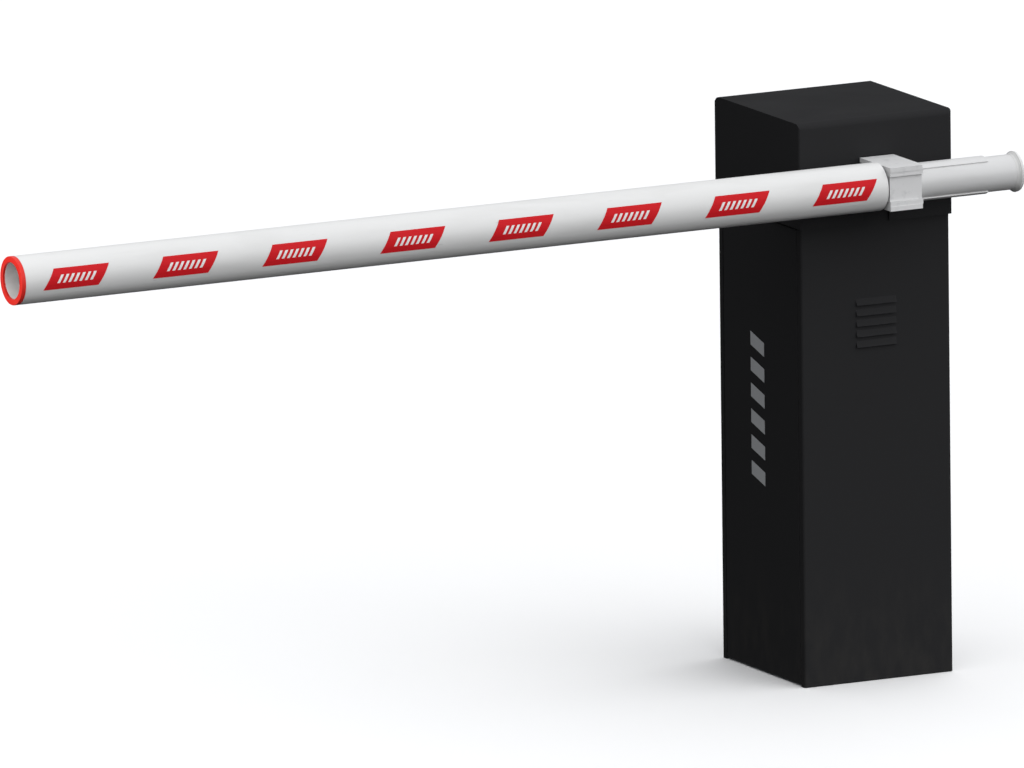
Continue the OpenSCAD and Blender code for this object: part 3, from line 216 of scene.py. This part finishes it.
def zinc_plate(name):
    """Steel with bright zinc plating: a cool silver with faint yellow and blue clouds."""
    metal = Finish(name, "#b3b6b8", 0.34, Metallic=1.0)
    metal.rough(metal.noise(6, 4), 0.27, 0.42)
    metal.bump(metal.noise(0.9, 2), 0.02, 0.4)
    metal.patches("#b5ae93", 0.5, 11, 4, 0.48, 0.7)
    metal.patches("#8f9bab", 0.4, 8, 3, 0.55, 0.75, (1, 2, 1))
    return metal.material


def galvanised_sheet(name):
    """Hot-dip galvanised sheet: grey zinc in angular spangles about 9 mm across, dulled by air."""
    metal = Finish(name, "#8e9296", 0.45, Metallic=0.95)
    cells = metal.add("TexVoronoi", {"Vector": metal.place, "Scale": per_mm(9), "Randomness": 1.0})
    shade = metal.add("SeparateXYZ", {0: cells.outputs["Color"]}).outputs["X"]
    metal.tint(metal.span(shade, 0.0, 1.0, 0.0, 0.55), "#b9bdc0")
    metal.tree.links.new(metal.span(shade, 0.0, 1.0, 0.36, 0.54), metal.shader.inputs["Roughness"])
    metal.patches("#c9c9c4", 0.45, 35, 5, 0.52, 0.75)
    metal.bump(metal.noise(2, 3), 0.02, 0.5)
    return metal.material


def turned_steel(name, axis):
    """Steel turned on a lathe and lightly oiled: bright, with tool rings about 0.4 mm apart, drawn
    at 1.5 mm so that they show, and a thin brown film of oil in patches."""
    metal = Finish(name, "#a9acaf", 0.24, Metallic=1.0)
    stretch = [1 if i == axis else 120 for i in range(3)]
    metal.bump(metal.noise(1.5, 2, stretch), 0.03, 0.6)
    metal.rough(metal.noise(3, 3, stretch), 0.18, 0.34)
    metal.patches("#8a7a62", 0.35, 18, 4, 0.55, 0.75)
    return metal.material


def phosphated_steel(name):
    """Flame-cut and milled steel with a dark phosphate skin: dull charcoal grey, mottled,
    brighter along the edges."""
    metal = Finish(name, "#56595c", 0.5, Metallic=0.75)
    metal.rough(metal.noise(9, 5), 0.4, 0.62)
    metal.bump(metal.noise(1.3, 4), 0.05, 0.5)
    metal.patches("#3d3f41", 0.5, 12, 5, 0.5, 0.75)
    metal.tint(metal.times(metal.edges(1.2), 0.6), "#9a9da0")
    return metal.material


def bearing_bronze(name):
    """Cast and machined bronze: a warm yellow-brown metal with darker tarnish."""
    metal = Finish(name, "#b08a4c", 0.32, Metallic=1.0)
    metal.rough(metal.noise(5, 4), 0.24, 0.42)
    metal.bump(metal.noise(1.2, 2), 0.02, 0.5)
    metal.patches("#7c5a2c", 0.6, 9, 4, 0.5, 0.75)
    return metal.material


def moulded_rubber(name):
    """Moulded black rubber: matt, with a bloom of grey dust."""
    rubber = Finish(name, "#1c1c1d", 0.78, Specular_IOR_Level=0.3)
    rubber.rough(rubber.noise(8, 4), 0.7, 0.88)
    rubber.bump(rubber.noise(1.0, 3), 0.05, 0.5)
    rubber.patches("#4a4946", 0.4, 12, 5, 0.5, 0.75)
    return rubber.material


def moulded_plastic(name, colour, roughness, faded, specular=0.45):
    """ABS or polyamide from a spark-eroded mould: even colour, a fine grain of about 0.6 mm, drawn
    at 1.2 mm so that it shows, slightly faded in patches and paler along the edges."""
    plastic = Finish(name, colour, roughness, Specular_IOR_Level=specular)
    plastic.rough(plastic.noise(30, 4), roughness - 0.06, roughness + 0.08)
    plastic.bump(plastic.noise(1.2, 2), 0.03, 0.45)
    plastic.patches(faded, 0.35, 40, 4, 0.5, 0.8)
    plastic.tint(plastic.times(plastic.edges(0.8), 0.35), faded)
    return plastic.material


def reflective_film(name, colour, cell_colour):
    """Prismatic reflective film: cells about 3 mm across under a clear, glossy skin, so the colour
    is lively close up and even from afar."""
    film = Finish(name, colour, 0.42, Specular_IOR_Level=0.05)
    cells = film.add("TexVoronoi", {"Vector": film.place, "Scale": per_mm(3), "Randomness": 0.15},
                     feature="DISTANCE_TO_EDGE")
    web = film.span(cells.outputs["Distance"], 0.10, 0.02)
    film.tint(film.times(web, 0.35), cell_colour)
    film.patches(cell_colour, 0.2, 45, 4, 0.5, 0.8)
    film.bump(cells.outputs["Distance"], 0.03, 0.3)
    return film.material


def laminated_steel(name):
    """A stack of electrical steel sheets 0.5 mm thick, drawn at 1.5 mm so that they show."""
    metal = Finish(name, "#5c5e61", 0.45, Metallic=0.8)
    sheets = metal.add("TexWave", {"Vector": metal.place, "Scale": per_mm(1.5) / 20}, bands_direction="Z")
    metal.bump(sheets.outputs["Fac"], 0.1, 0.8)
    metal.patches("#7b4a2c", 0.4, 6, 4, 0.5, 0.75)
    return metal.material


def circuit_board(name):
    """Glass-epoxy board under green solder mask, with copper tracks showing as paler lines."""
    board = Finish(name, "#1c5c36", 0.35, Specular_IOR_Level=0.5)
    tracks = board.add("TexBrick", {"Vector": board.place, "Scale": per_mm(20), "Mortar Size": 0.03})
    board.tint(board.times(tracks.outputs["Fac"], 0.6), "#4f9a5c")
    board.bump(tracks.outputs["Fac"], 0.05, 0.5)
    board.rough(board.noise(12, 3), 0.28, 0.45)
    return board.material


def studio_floor(name):
    """A painted studio floor: pale, even and matt."""
    floor = Finish(name, "#ffffff", 0.7, Specular_IOR_Level=0.1)
    floor.patches("#f6f6f5", 0.2, 900, 3, 0.3, 0.8)
    floor.rough(floor.noise(40, 3), 0.66, 0.76)
    return floor.material


ALONG_Y, ALONG_Z = 1, 2
finishes = {
    "black_coat": baked_coat("black_powder_coat", "#2c2c2d", "#4a4b4e", 0.62, 2.6, 0.005, 0.5, 0.06),
    "grey_coat": baked_coat("grey_casting_enamel", "#6f767c", "#9ea3a6", 0.42, 2.0, 0.4),
    "red_coat": baked_coat("red_oxide_primer", "#6d2320", "#8d7f7a", 0.58, 1.6, 0.3, 0.7),
    "spring_blue": baked_coat("blue_spring_coat", "#2d4f86", "#6b7684", 0.36, 1.4, 0.45, 0.4),
    "white_coat": white_coat("white_boom_coat", "#dddddc", 0.10),
    "tail_white": white_coat("white_tail_coat", "#d2d2d2", 0.12),
    "holder_grey": extruded_aluminium("grey_extruded_aluminium", "#dadada"),
    "cast_housing": cast_aluminium("die_cast_aluminium"),
    "zinc": zinc_plate("zinc_plated_steel"),
    "galvanised": galvanised_sheet("galvanised_sheet_steel"),
    "bare_steel": turned_steel("turned_steel_across", ALONG_Y),
    "upright_steel": turned_steel("turned_steel_upright", ALONG_Z),
    "lever_steel": phosphated_steel("phosphated_steel"),
    "bronze": bearing_bronze("machined_bronze"),
    "rubber": moulded_rubber("moulded_black_rubber"),
    "black_plastic": moulded_plastic("moulded_black_polyamide", "#262729", 0.5, "#3a3b3d", 0.35),
    "grey_plastic": moulded_plastic("moulded_grey_abs", "#c3c6c8", 0.45, "#b9b6ab"),
    "white_plastic": moulded_plastic("moulded_white_polyamide", "#e2e2e1", 0.4, "#d8d6cf"),
    "pale_liner": moulded_plastic("moulded_pale_liner", "#f2f0ee", 0.5, "#e6e2dc", 0.3),
    "red_plastic": moulded_plastic("moulded_red_plastic", "#e02f27", 0.42, "#de4638", 0.2),
    "blue_plastic": moulded_plastic("moulded_blue_plastic", "#2c6ca3", 0.4, "#5b87ab"),
    "yellow_plastic": moulded_plastic("moulded_yellow_plastic", "#d99a22", 0.42, "#d6a955"),
    "board_green": circuit_board("solder_masked_board"),
    "red_film": reflective_film("red_reflective_film", "#cf2128", "#ba181e"),
    "white_film": reflective_film("white_reflective_film", "#e9e5e4", "#ffffff"),
    "silver_film": reflective_film("silver_reflective_film", "#a9abad", "#c4c6c8"),
    "laminations": laminated_steel("laminated_core_steel"),
    "floor": studio_floor("painted_studio_floor"),
}


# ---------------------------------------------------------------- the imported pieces

UPRIGHT_TURNED = {"worm_rotor", "pivot_pins", "door_bolt", "motor_bearings"}
OWN_FINISH = {"stator_core": "laminations"}
SOFT_EDGE_MM = {
    "cabinet_body": 0.5, "hood": 0.8, "door": 0.6, "boom_holder": 0.8, "holder_cover": 0.4, "end_ring": 0.9,
    "boom_tube": 0.4, "tail_tube": 0.6, "base_plate": 0.6, "drive_frame": 0.8, "gearbox_housing": 1.2,
    "gearbox_cover": 1.0, "motor_casing": 0.6, "motor_end_shield": 1.0, "fan_cover": 0.8,
    "terminal_box": 1.0, "control_box": 1.2, "control_lid": 1.5, "drive_lever": 1.0, "spring_lever": 1.0,
    "crank_arm": 1.0, "bearing_housings": 1.0, "stop_rollers": 0.8, "sensor_cam": 0.6,
    "release_lever": 1.2, "main_shaft": 0.8, "rod_ends": 0.8, "rod_bar": 0.4, "spring_rod": 0.8,
    "spring_anchor": 0.8, "support_rails": 0.5,
    "frame_bolts": 0.5, "bearing_bolts": 0.4, "gearbox_bolts": 0.4, "tension_bolt": 0.5, "capacitor": 0.8,
    "hood_lock": 0.4, "door_bolt": 0.6, "lever_pins": 0.5, "crank_pin": 0.5, "limit_sensors": 0.4,
    "cable_glands": 0.5, "boom_screws": 0.5, "sensor_bracket": 0.4, "hood_seals": 0.8,
}
SHARP, HARD = math.radians(20), math.radians(35)


def ease_edges(piece, width_mm):
    """Rounds the piece's sharp edges a little, as bending, moulding and deburring leave them."""
    weld = piece.modifiers.new("joined_corners", "WELD")
    weld.merge_threshold = 0.005 * MM
    bevel = piece.modifiers.new("eased_edges", "BEVEL")
    bevel.width = width_mm * MM
    bevel.segments = 2
    bevel.limit_method = "ANGLE"
    bevel.angle_limit = SHARP
    bevel.use_clamp_overlap = True
    split = piece.modifiers.new("hard_corners", "EDGE_SPLIT")
    split.split_angle = HARD
    split.use_edge_sharp = False
    normals = piece.modifiers.new("flat_faces", "WEIGHTED_NORMAL")
    normals.mode = "FACE_AREA"
    normals.weight = 80


for part in frame["record"]["subparts"]:
    name = part["node"]
    kind = OWN_FINISH.get(name, "upright_steel" if name in UPRIGHT_TURNED else part["material_slot"])
    node = nodes[name]
    node.data.materials.clear()
    node.data.materials.append(finishes[kind])
    for face in node.data.polygons:
        face.material_index = 0
        face.use_smooth = True
    if name in SOFT_EDGE_MM:
        ease_edges(node, SOFT_EDGE_MM[name])


# ---------------------------------------------------------------- mesh tools

def piece_from(name, mesh, body, finish, smooth=True):
    """A new piece that rides on a body, from a bmesh that is freed here."""
    bmesh.ops.recalc_face_normals(mesh, faces=mesh.faces)
    data = bpy.data.meshes.new(name)
    mesh.to_mesh(data)
    mesh.free()
    data.materials.append(finishes[finish])
    data.polygons.foreach_set("use_smooth", [smooth] * len(data.polygons))
    if smooth:
        data.set_sharp_from_angle(angle=SHARP)
    piece = bpy.data.objects.new(name, data)
    scene.collection.objects.link(piece)
    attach(piece, body)
    return piece


def turned(mesh, profile, base, axis, sides=64):
    """Turns a closed outline of (radius, distance along the axis) points about an axis from base."""
    axis = Vector(axis).normalized()
    across = axis.orthogonal().normalized()
    other = axis.cross(across)
    rings = []
    for k in range(sides):
        turn = 2 * math.pi * k / sides
        out = across * math.cos(turn) + other * math.sin(turn)
        rings.append([mesh.verts.new(Vector(base) + out * r + axis * d) for r, d in profile])
    count = len(profile)
    for k in range(sides):
        ring, following = rings[k], rings[(k + 1) % sides]
        for i in range(count):
            j = (i + 1) % count
            mesh.faces.new((ring[i], ring[j], following[j], following[i]))
    bmesh.ops.remove_doubles(mesh, verts=mesh.verts, dist=0.001 * MM)


def in_mm(*points):
    """An outline from pairs given in millimetres."""
    return [(a * MM, b * MM) for a, b in points]


def swept(mesh, path, radius, sides=12):
    """A round bar along a path, closed at both ends. radius is one number, or one for each point."""
    radii = radius if isinstance(radius, list) else [radius] * len(path)
    rings = []
    side = None
    for i, point in enumerate(path):
        ahead = (path[min(i + 1, len(path) - 1)] - path[max(i - 1, 0)]).normalized()
        side = ahead.orthogonal() if side is None else side - ahead * side.dot(ahead)
        side.normalize()
        up = ahead.cross(side)
        rings.append([mesh.verts.new(point + (side * math.cos(a) + up * math.sin(a)) * radii[i])
                      for a in (2 * math.pi * k / sides for k in range(sides))])
    for ring, following in zip(rings, rings[1:]):
        for k in range(sides):
            j = (k + 1) % sides
            mesh.faces.new((ring[k], ring[j], following[j], following[k]))
    mesh.faces.new(rings[0][::-1])
    mesh.faces.new(rings[-1])


def rounded_block(mesh, low, high, edge_mm, segments=2):
    """A block between two corners, with every edge rounded."""
    low, high = Vector(low), Vector(high)
    size = high - low
    place = Matrix.Translation((low + high) / 2) @ Matrix.Diagonal((*size, 1))
    made = bmesh.ops.create_cube(mesh, size=1, matrix=place)
    edges = list({edge for vert in made["verts"] for edge in vert.link_edges})
    bmesh.ops.bevel(mesh, geom=edges, offset=edge_mm * MM, segments=segments, affect="EDGES", profile=0.5)


def fillet(radius, offset, from_deg, to_deg, steps=6):
    """Points of an arc about (radius, distance) offset, for an outline to be turned."""
    return [(offset[0] + radius * math.cos(math.radians(from_deg + (to_deg - from_deg) * k / steps)),
             offset[1] + radius * math.sin(math.radians(from_deg + (to_deg - from_deg) * k / steps)))
            for k in range(steps + 1)]


# ---------------------------------------------------------------- the boom's own pieces

tube_low, tube_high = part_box("boom_tube")
boom_axis = (tube_low + tube_high) / 2
boom_r = (tube_high.z - tube_low.z) / 2
LABEL_SLANT = 11 / 18


def label_marks():
    """Seven plain slanted bars of white film in the middle of each label, in place of any wording."""
    low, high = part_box("boom_labels")
    middle = (low.z + high.z) / 2 - boom_axis.z
    mesh = bmesh.new()
    front_r, back_r = boom_r + 0.55 * MM, boom_r + 0.35 * MM
    bar_half, pitch, count, rise = 2.6 * MM, 10.5 * MM, 7, 7.0 * MM
    steps = 3
    for centre in label_centres():
        for i in range(count):
            x = centre + (i - (count - 1) / 2) * pitch
            rows = []
            for k in range(2 * steps + 1):
                up = rise * (k / steps - 1)
                turn = math.asin((up + middle) / boom_r)
                lean = up * LABEL_SLANT
                rows.append([(x + lean - bar_half, turn), (x + lean + bar_half, turn)])
            for r, flip in ((front_r, False), (back_r, True)):
                verts = [[mesh.verts.new((px, boom_axis.y - r * math.cos(t), boom_axis.z + r * math.sin(t)))
                          for px, t in row] for row in rows]
                for a, b in zip(verts, verts[1:]):
                    mesh.faces.new((a[0], a[1], b[1], b[0]) if not flip else (a[0], b[0], b[1], a[1]))
    return piece_from("label_bars", mesh, "boom_arm", "white_film")


def label_centres():
    """The middle of each label along the boom, halfway between the clusters of corners at its two ends."""
    label_gap = 40 * MM
    xs = sorted(v.co.x for v in nodes["boom_labels"].data.vertices)
    ends = [[xs[0]]]
    for x in xs[1:]:
        if x - ends[-1][-1] > label_gap:
            ends.append([])
        ends[-1].append(x)
    return [(left[0] + right[-1]) / 2 for left, right in zip(ends[::2], ends[1::2])]


def tail_plug():
    """The moulded plug in the tail: a stem inside, then outside a smooth flare, a groove, a fine bead
    and a domed rim."""
    low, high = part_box("end_plug")
    base = Vector((low.x, (low.y + high.y) / 2, (low.z + high.z) / 2))
    length = high.x - low.x
    rim_r = (high.z - low.z) / 2
    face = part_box("tail_tube")[1].x - low.x
    stem_r, tube_r, edge = 26.9 * MM, 31 * MM, 1.5 * MM
    # how far the flare stands out of the tube, and how far past its face
    flare = in_mm((0.2, 0), (0.5, 1.4), (1.3, 2.8), (2.5, 4.0), (3.4, 4.8))
    outline = [(0, 0), (stem_r - edge, 0), (stem_r, edge), (stem_r, face)]
    outline += [(tube_r + out, face + past) for out, past in flare]
    outline += [(rim_r - 1.3 * MM, face + 5.6 * MM), (rim_r - 1.9 * MM, face + 6.0 * MM)]
    outline += fillet(1.0 * MM, (rim_r - 1.0 * MM, face + 7.2 * MM), -70, 80)
    outline += [(rim_r - 1.7 * MM, face + 8.4 * MM)]
    outline += fillet(2.6 * MM, (rim_r - 3.2 * MM, length - 2.6 * MM), -40, 90, 10)
    outline += [(rim_r * 0.6, length - 0.2 * MM), (rim_r * 0.55, length - 1.4 * MM), (0, length - 1.6 * MM)]
    mesh = bmesh.new()
    turned(mesh, outline, base, (1, 0, 0), 96)
    piece = piece_from("tail_plug", mesh, "boom_arm", "white_plastic")
    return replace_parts(piece, "end_plug")


def bore_liner():
    """The thin pale sleeve in the end ring's bore. The first few millimetres of the bore stay red."""
    low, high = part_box("end_ring")
    bore = next(mount for mount in frame["record"]["mounts"] if mount["name"] == "boom_end_bore")
    red_length, wall, gap = 4.3 * MM, 0.35 * MM, 0.05 * MM
    outer = bore["dims"]["r_mm"] * MM - gap
    length = high.x - low.x - red_length
    mesh = bmesh.new()
    turned(mesh, [(outer - wall, 0), (outer, 0), (outer, length), (outer - wall, length)],
           (low.x + red_length, (low.y + high.y) / 2, (low.z + high.z) / 2), (1, 0, 0), 96)
    return piece_from("bore_liner", mesh, "boom_arm", "pale_liner")


# ---------------------------------------------------------------- the drive's own pieces

def balance_coil():
    """The counterbalance spring: round wire, its end turns closed up on the threaded plugs. The real spring
    shortens as the boom goes up, by as much as the pin of its lever comes down; here it is built at one
    fixed length."""
    low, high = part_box("balance_spring")
    wire_r = 3 * MM
    centre = (low + high) / 2
    coil_r = (high.x - low.x) / 2 - wire_r
    turns, closed, per_turn = 28, 1.5, 26
    length = high.z - low.z - 2 * wire_r
    tight = 2 * wire_r * closed
    path = []
    for i in range(turns * per_turn + 1):
        t = i / per_turn
        if t < closed:
            z = 2 * wire_r * t
        elif t > turns - closed:
            z = length - 2 * wire_r * (turns - t)
        else:
            z = tight + (length - 2 * tight) * (t - closed) / (turns - 2 * closed)
        angle = 2 * math.pi * t
        path.append(Vector((centre.x + coil_r * math.cos(angle), centre.y + coil_r * math.sin(angle),
                            low.z + wire_r + z)))
    mesh = bmesh.new()
    swept(mesh, path, wire_r, 12)
    piece = piece_from("balance_coil", mesh, "cabinet", "spring_blue")
    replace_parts(piece, "balance_spring")
    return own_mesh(piece)


def weld_beads():
    """The fillet welds that hold the frame's upright plates on its shelf, rippled as the torch moved."""
    shelf_t, plate_t, lift = 8 * MM, 6 * MM, 0.8 * MM
    # how far in from the bearings' ends the two plates' fronts stand
    front_in, rear_in = 12 * MM, 26 * MM
    runs_mm, step_mm = ((-92, -52), (-20, 20), (76, 93)), 1.5
    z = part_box("drive_frame")[0].z + shelf_t + lift
    low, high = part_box("bearing_housings")
    mesh = bmesh.new()
    for plate in (low.y + front_in, high.y - rear_in):
        for y in (plate - lift, plate + plate_t + lift):
            for x0, x1 in runs_mm:
                steps = int((x1 - x0) / step_mm)
                path = [Vector(((x0 + step_mm * i) * MM, y, z)) for i in range(steps + 1)]
                radii = [(2.6 + 0.35 * math.sin(1.6 * i) + dice.uniform(-0.12, 0.12)) * MM
                         for i in range(steps + 1)]
                radii[0] = radii[-1] = 1.2 * MM
                swept(mesh, path, radii, 10)
    return piece_from("frame_welds", mesh, "cabinet", "lever_steel")


gear_low, gear_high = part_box("gearbox_housing")
# the gearbox's flat front is 12 mm back from the edge of its feet
gear_front = gear_low.y + 12 * MM


def rating_plate():
    """A blank aluminium plate with four drive rivets on the gearbox's front."""
    half, thick, rivet_in = 20 * MM, 0.8 * MM, 2.5 * MM
    z0, z1 = gear_low.z + 12 * MM, gear_low.z + 38 * MM
    rivet = in_mm((0, 0), (1.6, 0), (1.4, 0.6), (0.8, 1.0), (0, 1.1))
    mesh = bmesh.new()
    rounded_block(mesh, (-half, gear_front - thick, z0), (half, gear_front, z1), 0.3)
    for x in (rivet_in - half, half - rivet_in):
        for z in (z0 + rivet_in, z1 - rivet_in):
            turned(mesh, rivet, (x, gear_front - thick, z), (0, -1, 0), 16)
    return piece_from("rating_plate", mesh, "cabinet", "holder_grey")


def oil_plugs():
    """The gearbox's filler plug on top and its round sight glass in a frame on the front."""
    filler = in_mm((0, 0), (8, 0), (8, 2), (6.6, 2.4), (6.6, 7), (5.8, 8), (0, 8))
    rim = in_mm((5, 0), (9, 0), (9, 2.4), (8.2, 3.2), (5.8, 3.2), (5, 2.4))
    glass = in_mm((0, 0), (5, 0), (5, 1.6), (3, 2.1), (0, 2.2))
    mesh = bmesh.new()
    turned(mesh, filler, (gear_low.x + 25 * MM, 14 * MM, gear_high.z), (0, 0, 1), 6)
    for outline in (rim, glass):
        turned(mesh, outline, (gear_high.x - 30 * MM, gear_front, gear_low.z + 58 * MM), (0, -1, 0), 40)
    return piece_from("oil_plugs", mesh, "cabinet", "bronze")


def grease_nipples():
    """A grease nipple on top of each shaft bearing."""
    low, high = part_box("bearing_housings")
    above_shaft = 34 * MM
    nipple = in_mm((0, -1), (4, -1), (4, 3), (2.2, 3.6), (2.2, 6), (3.1, 7.4), (2.4, 9), (1, 9.6), (0, 9.6))
    mesh = bmesh.new()
    for y in (low.y + 27 * MM, high.y - 6 * MM):
        turned(mesh, nipple, (0, y, (low.z + high.z) / 2 + above_shaft), (0, 0, 1), 20)
    return piece_from("grease_nipples", mesh, "cabinet", "zinc")


def keypad():
    """A plain membrane panel on the control box's lid, with a dark display window and four keys."""
    low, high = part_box("control_lid")
    face = low.x + 1.2 * MM
    y, z = (low.y + high.y) / 2, high.z - 78 * MM

    def tiles(name, finish, front, back, edge, spans):
        """One piece from flat tiles. A span is a tile's middle, half width, bottom and top, in mm."""
        mesh = bmesh.new()
        for middle, half, bottom, top in spans:
            rounded_block(mesh, (face + front * MM, y + (middle - half) * MM, z + bottom * MM),
                          (face + back * MM, y + (middle + half) * MM, z + top * MM), edge)
        return piece_from(name, mesh, "cabinet", finish)

    tiles("control_panel", "black_plastic", -0.8, 0, 0.35, [(0, 46, -34, 34)])
    keys = [((i - 1.5) * 20, 7, -24, -12) for i in range(4)]
    tiles("control_keys", "grey_plastic", -1.1, -0.7, 0.2, keys)
    tiles("control_window", "board_green", -1.1, -0.7, 0.2, [(0, 34, 2, 24)])


def cover_screws():
    """Pan-head screws in the terminal box's cover, each with a shallow round dip in its head."""
    low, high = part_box("terminal_box")
    inset = 7 * MM
    screw = in_mm((0, 0), (3.6, 0), (3.4, 1), (2.4, 1.9), (1, 2.2), (0.9, 1.4), (0, 1.4))
    mesh = bmesh.new()
    for y in (low.y + inset, high.y - inset):
        for z in (low.z + inset, high.z - inset):
            turned(mesh, screw, (low.x, y, z), (-1, 0, 0), 24)
    return piece_from("cover_screws", mesh, "cabinet", "zinc")


label_marks()
tail_plug()
bore_liner()
balance_coil()
weld_beads()
rating_plate()
oil_plugs()
grease_nipples()
keypad()
cover_screws()


# ---------------------------------------------------------------- floor, lights and camera

def floor_plane():
    mesh = bmesh.new()
    bmesh.ops.create_circle(mesh, cap_ends=True, radius=160, segments=96)
    data = bpy.data.meshes.new("studio_floor")
    mesh.to_mesh(data)
    mesh.free()
    data.materials.append(finishes["floor"])
    floor = bpy.data.objects.new("studio_floor", data)
    floor.location.z = -0.5 * MM
    floor.visible_diffuse = False
    floor.visible_glossy = False
    scene.collection.objects.link(floor)


def soft_sun(name, azimuth, elevation, width, power, colour="#ffffff"):
    """A very wide soft light, even along the whole boom. Azimuth 0 is in front, 90 beyond the free end."""
    light = bpy.data.lights.new(name, "SUN")
    light.angle = math.radians(width)
    light.energy = power
    light.color = to_linear(colour)[:3]
    turn, rise = math.radians(azimuth), math.radians(elevation)
    direction = Vector((-math.sin(turn) * math.cos(rise), -math.cos(turn) * math.cos(rise), math.sin(rise)))
    lamp = bpy.data.objects.new(name, light)
    lamp.location = direction * 5
    lamp.rotation_euler = direction.to_track_quat("Z", "Y").to_euler()
    scene.collection.objects.link(lamp)


def end_light(distance, width, power):
    """A small soft light off the boom's free end, which lights little but the end ring and its bore."""
    low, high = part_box("end_ring")
    light = bpy.data.lights.new("end_light", "AREA")
    light.shape = "DISK"
    light.size = width
    light.energy = power
    tip = Vector((low.x, (low.y + high.y) / 2, (low.z + high.z) / 2))
    direction = Vector((-1, -0.05, 0.1)).normalized()
    lamp = bpy.data.objects.new("end_light", light)
    lamp.location = tip + direction * distance
    lamp.rotation_euler = direction.to_track_quat("Z", "Y").to_euler()
    lamp.visible_camera = False
    scene.collection.objects.link(lamp)


def pale_room():
    """A white background, and a soft dome of light overhead: dark below the horizon, brighter in front
    than behind, and brighter towards +X than towards the boom's free end."""
    world = bpy.data.worlds.new("pale_room")
    world.use_nodes = True
    tree = world.node_tree
    tree.nodes.clear()
    towards = add(tree, "SeparateXYZ", {0: add(tree, "TexCoord").outputs["Generated"]})
    above = add(tree, "MapRange", {0: towards.outputs["Z"], 1: -0.02, 2: 0.30, 3: 0.05, 4: 1.0})
    sideways = add(tree, "MapRange", {0: towards.outputs["X"], 1: -1.0, 2: 1.0, 3: -0.6, 4: 0.6})
    forwards = add(tree, "MapRange", {0: towards.outputs["Y"], 1: -1.0, 2: 1.0, 3: 1.62, 4: 0.52})
    level = add(tree, "Math", {0: sideways.outputs[0], 1: forwards.outputs[0]}, operation="ADD")
    dome = add(tree, "Math", {0: above.outputs[0], 1: level.outputs[0]}, operation="MULTIPLY")
    around = add(tree, "Background", {"Color": to_linear("#fcfdff"), "Strength": dome.outputs[0]})
    seen = add(tree, "Background", {"Color": to_linear("#ffffff"), "Strength": 1.0})
    path = add(tree, "LightPath")
    mix = add(tree, "MixShader",
              {0: path.outputs["Is Camera Ray"], 1: around.outputs[0], 2: seen.outputs[0]})
    add(tree, "OutputWorld", {"Surface": mix.outputs[0]})
    scene.world = world


def studio():
    floor_plane()
    soft_sun("front_light", azimuth=-20, elevation=15, width=50, power=0.5)
    end_light(distance=0.5, width=0.3, power=2.3)
    pale_room()
    scene.view_settings.view_transform = "Standard"


def camera():
    """A long lens from the front left, a little above the boom, rolled very slightly."""
    azimuth, elevation, roll = math.radians(27.14), math.radians(11.23), math.radians(-0.66)
    lens, sensor, view_width = 1250, 36, 1.776
    aim = Vector((-0.670, -0.071, 0.5788))
    back = Vector((-math.sin(azimuth) * math.cos(elevation), -math.cos(azimuth) * math.cos(elevation),
                   math.sin(elevation)))
    data = bpy.data.cameras.new("long_lens")
    data.lens, data.sensor_width = lens, sensor
    data.clip_end = 400
    eye = bpy.data.objects.new("long_lens", data)
    turn = back.to_track_quat("Z", "Y").to_matrix().to_4x4() @ Matrix.Rotation(roll, 4, "Z")
    eye.matrix_world = Matrix.Translation(aim + back * view_width * lens / sensor) @ turn
    scene.collection.objects.link(eye)
    scene.camera = eye


studio()
camera()
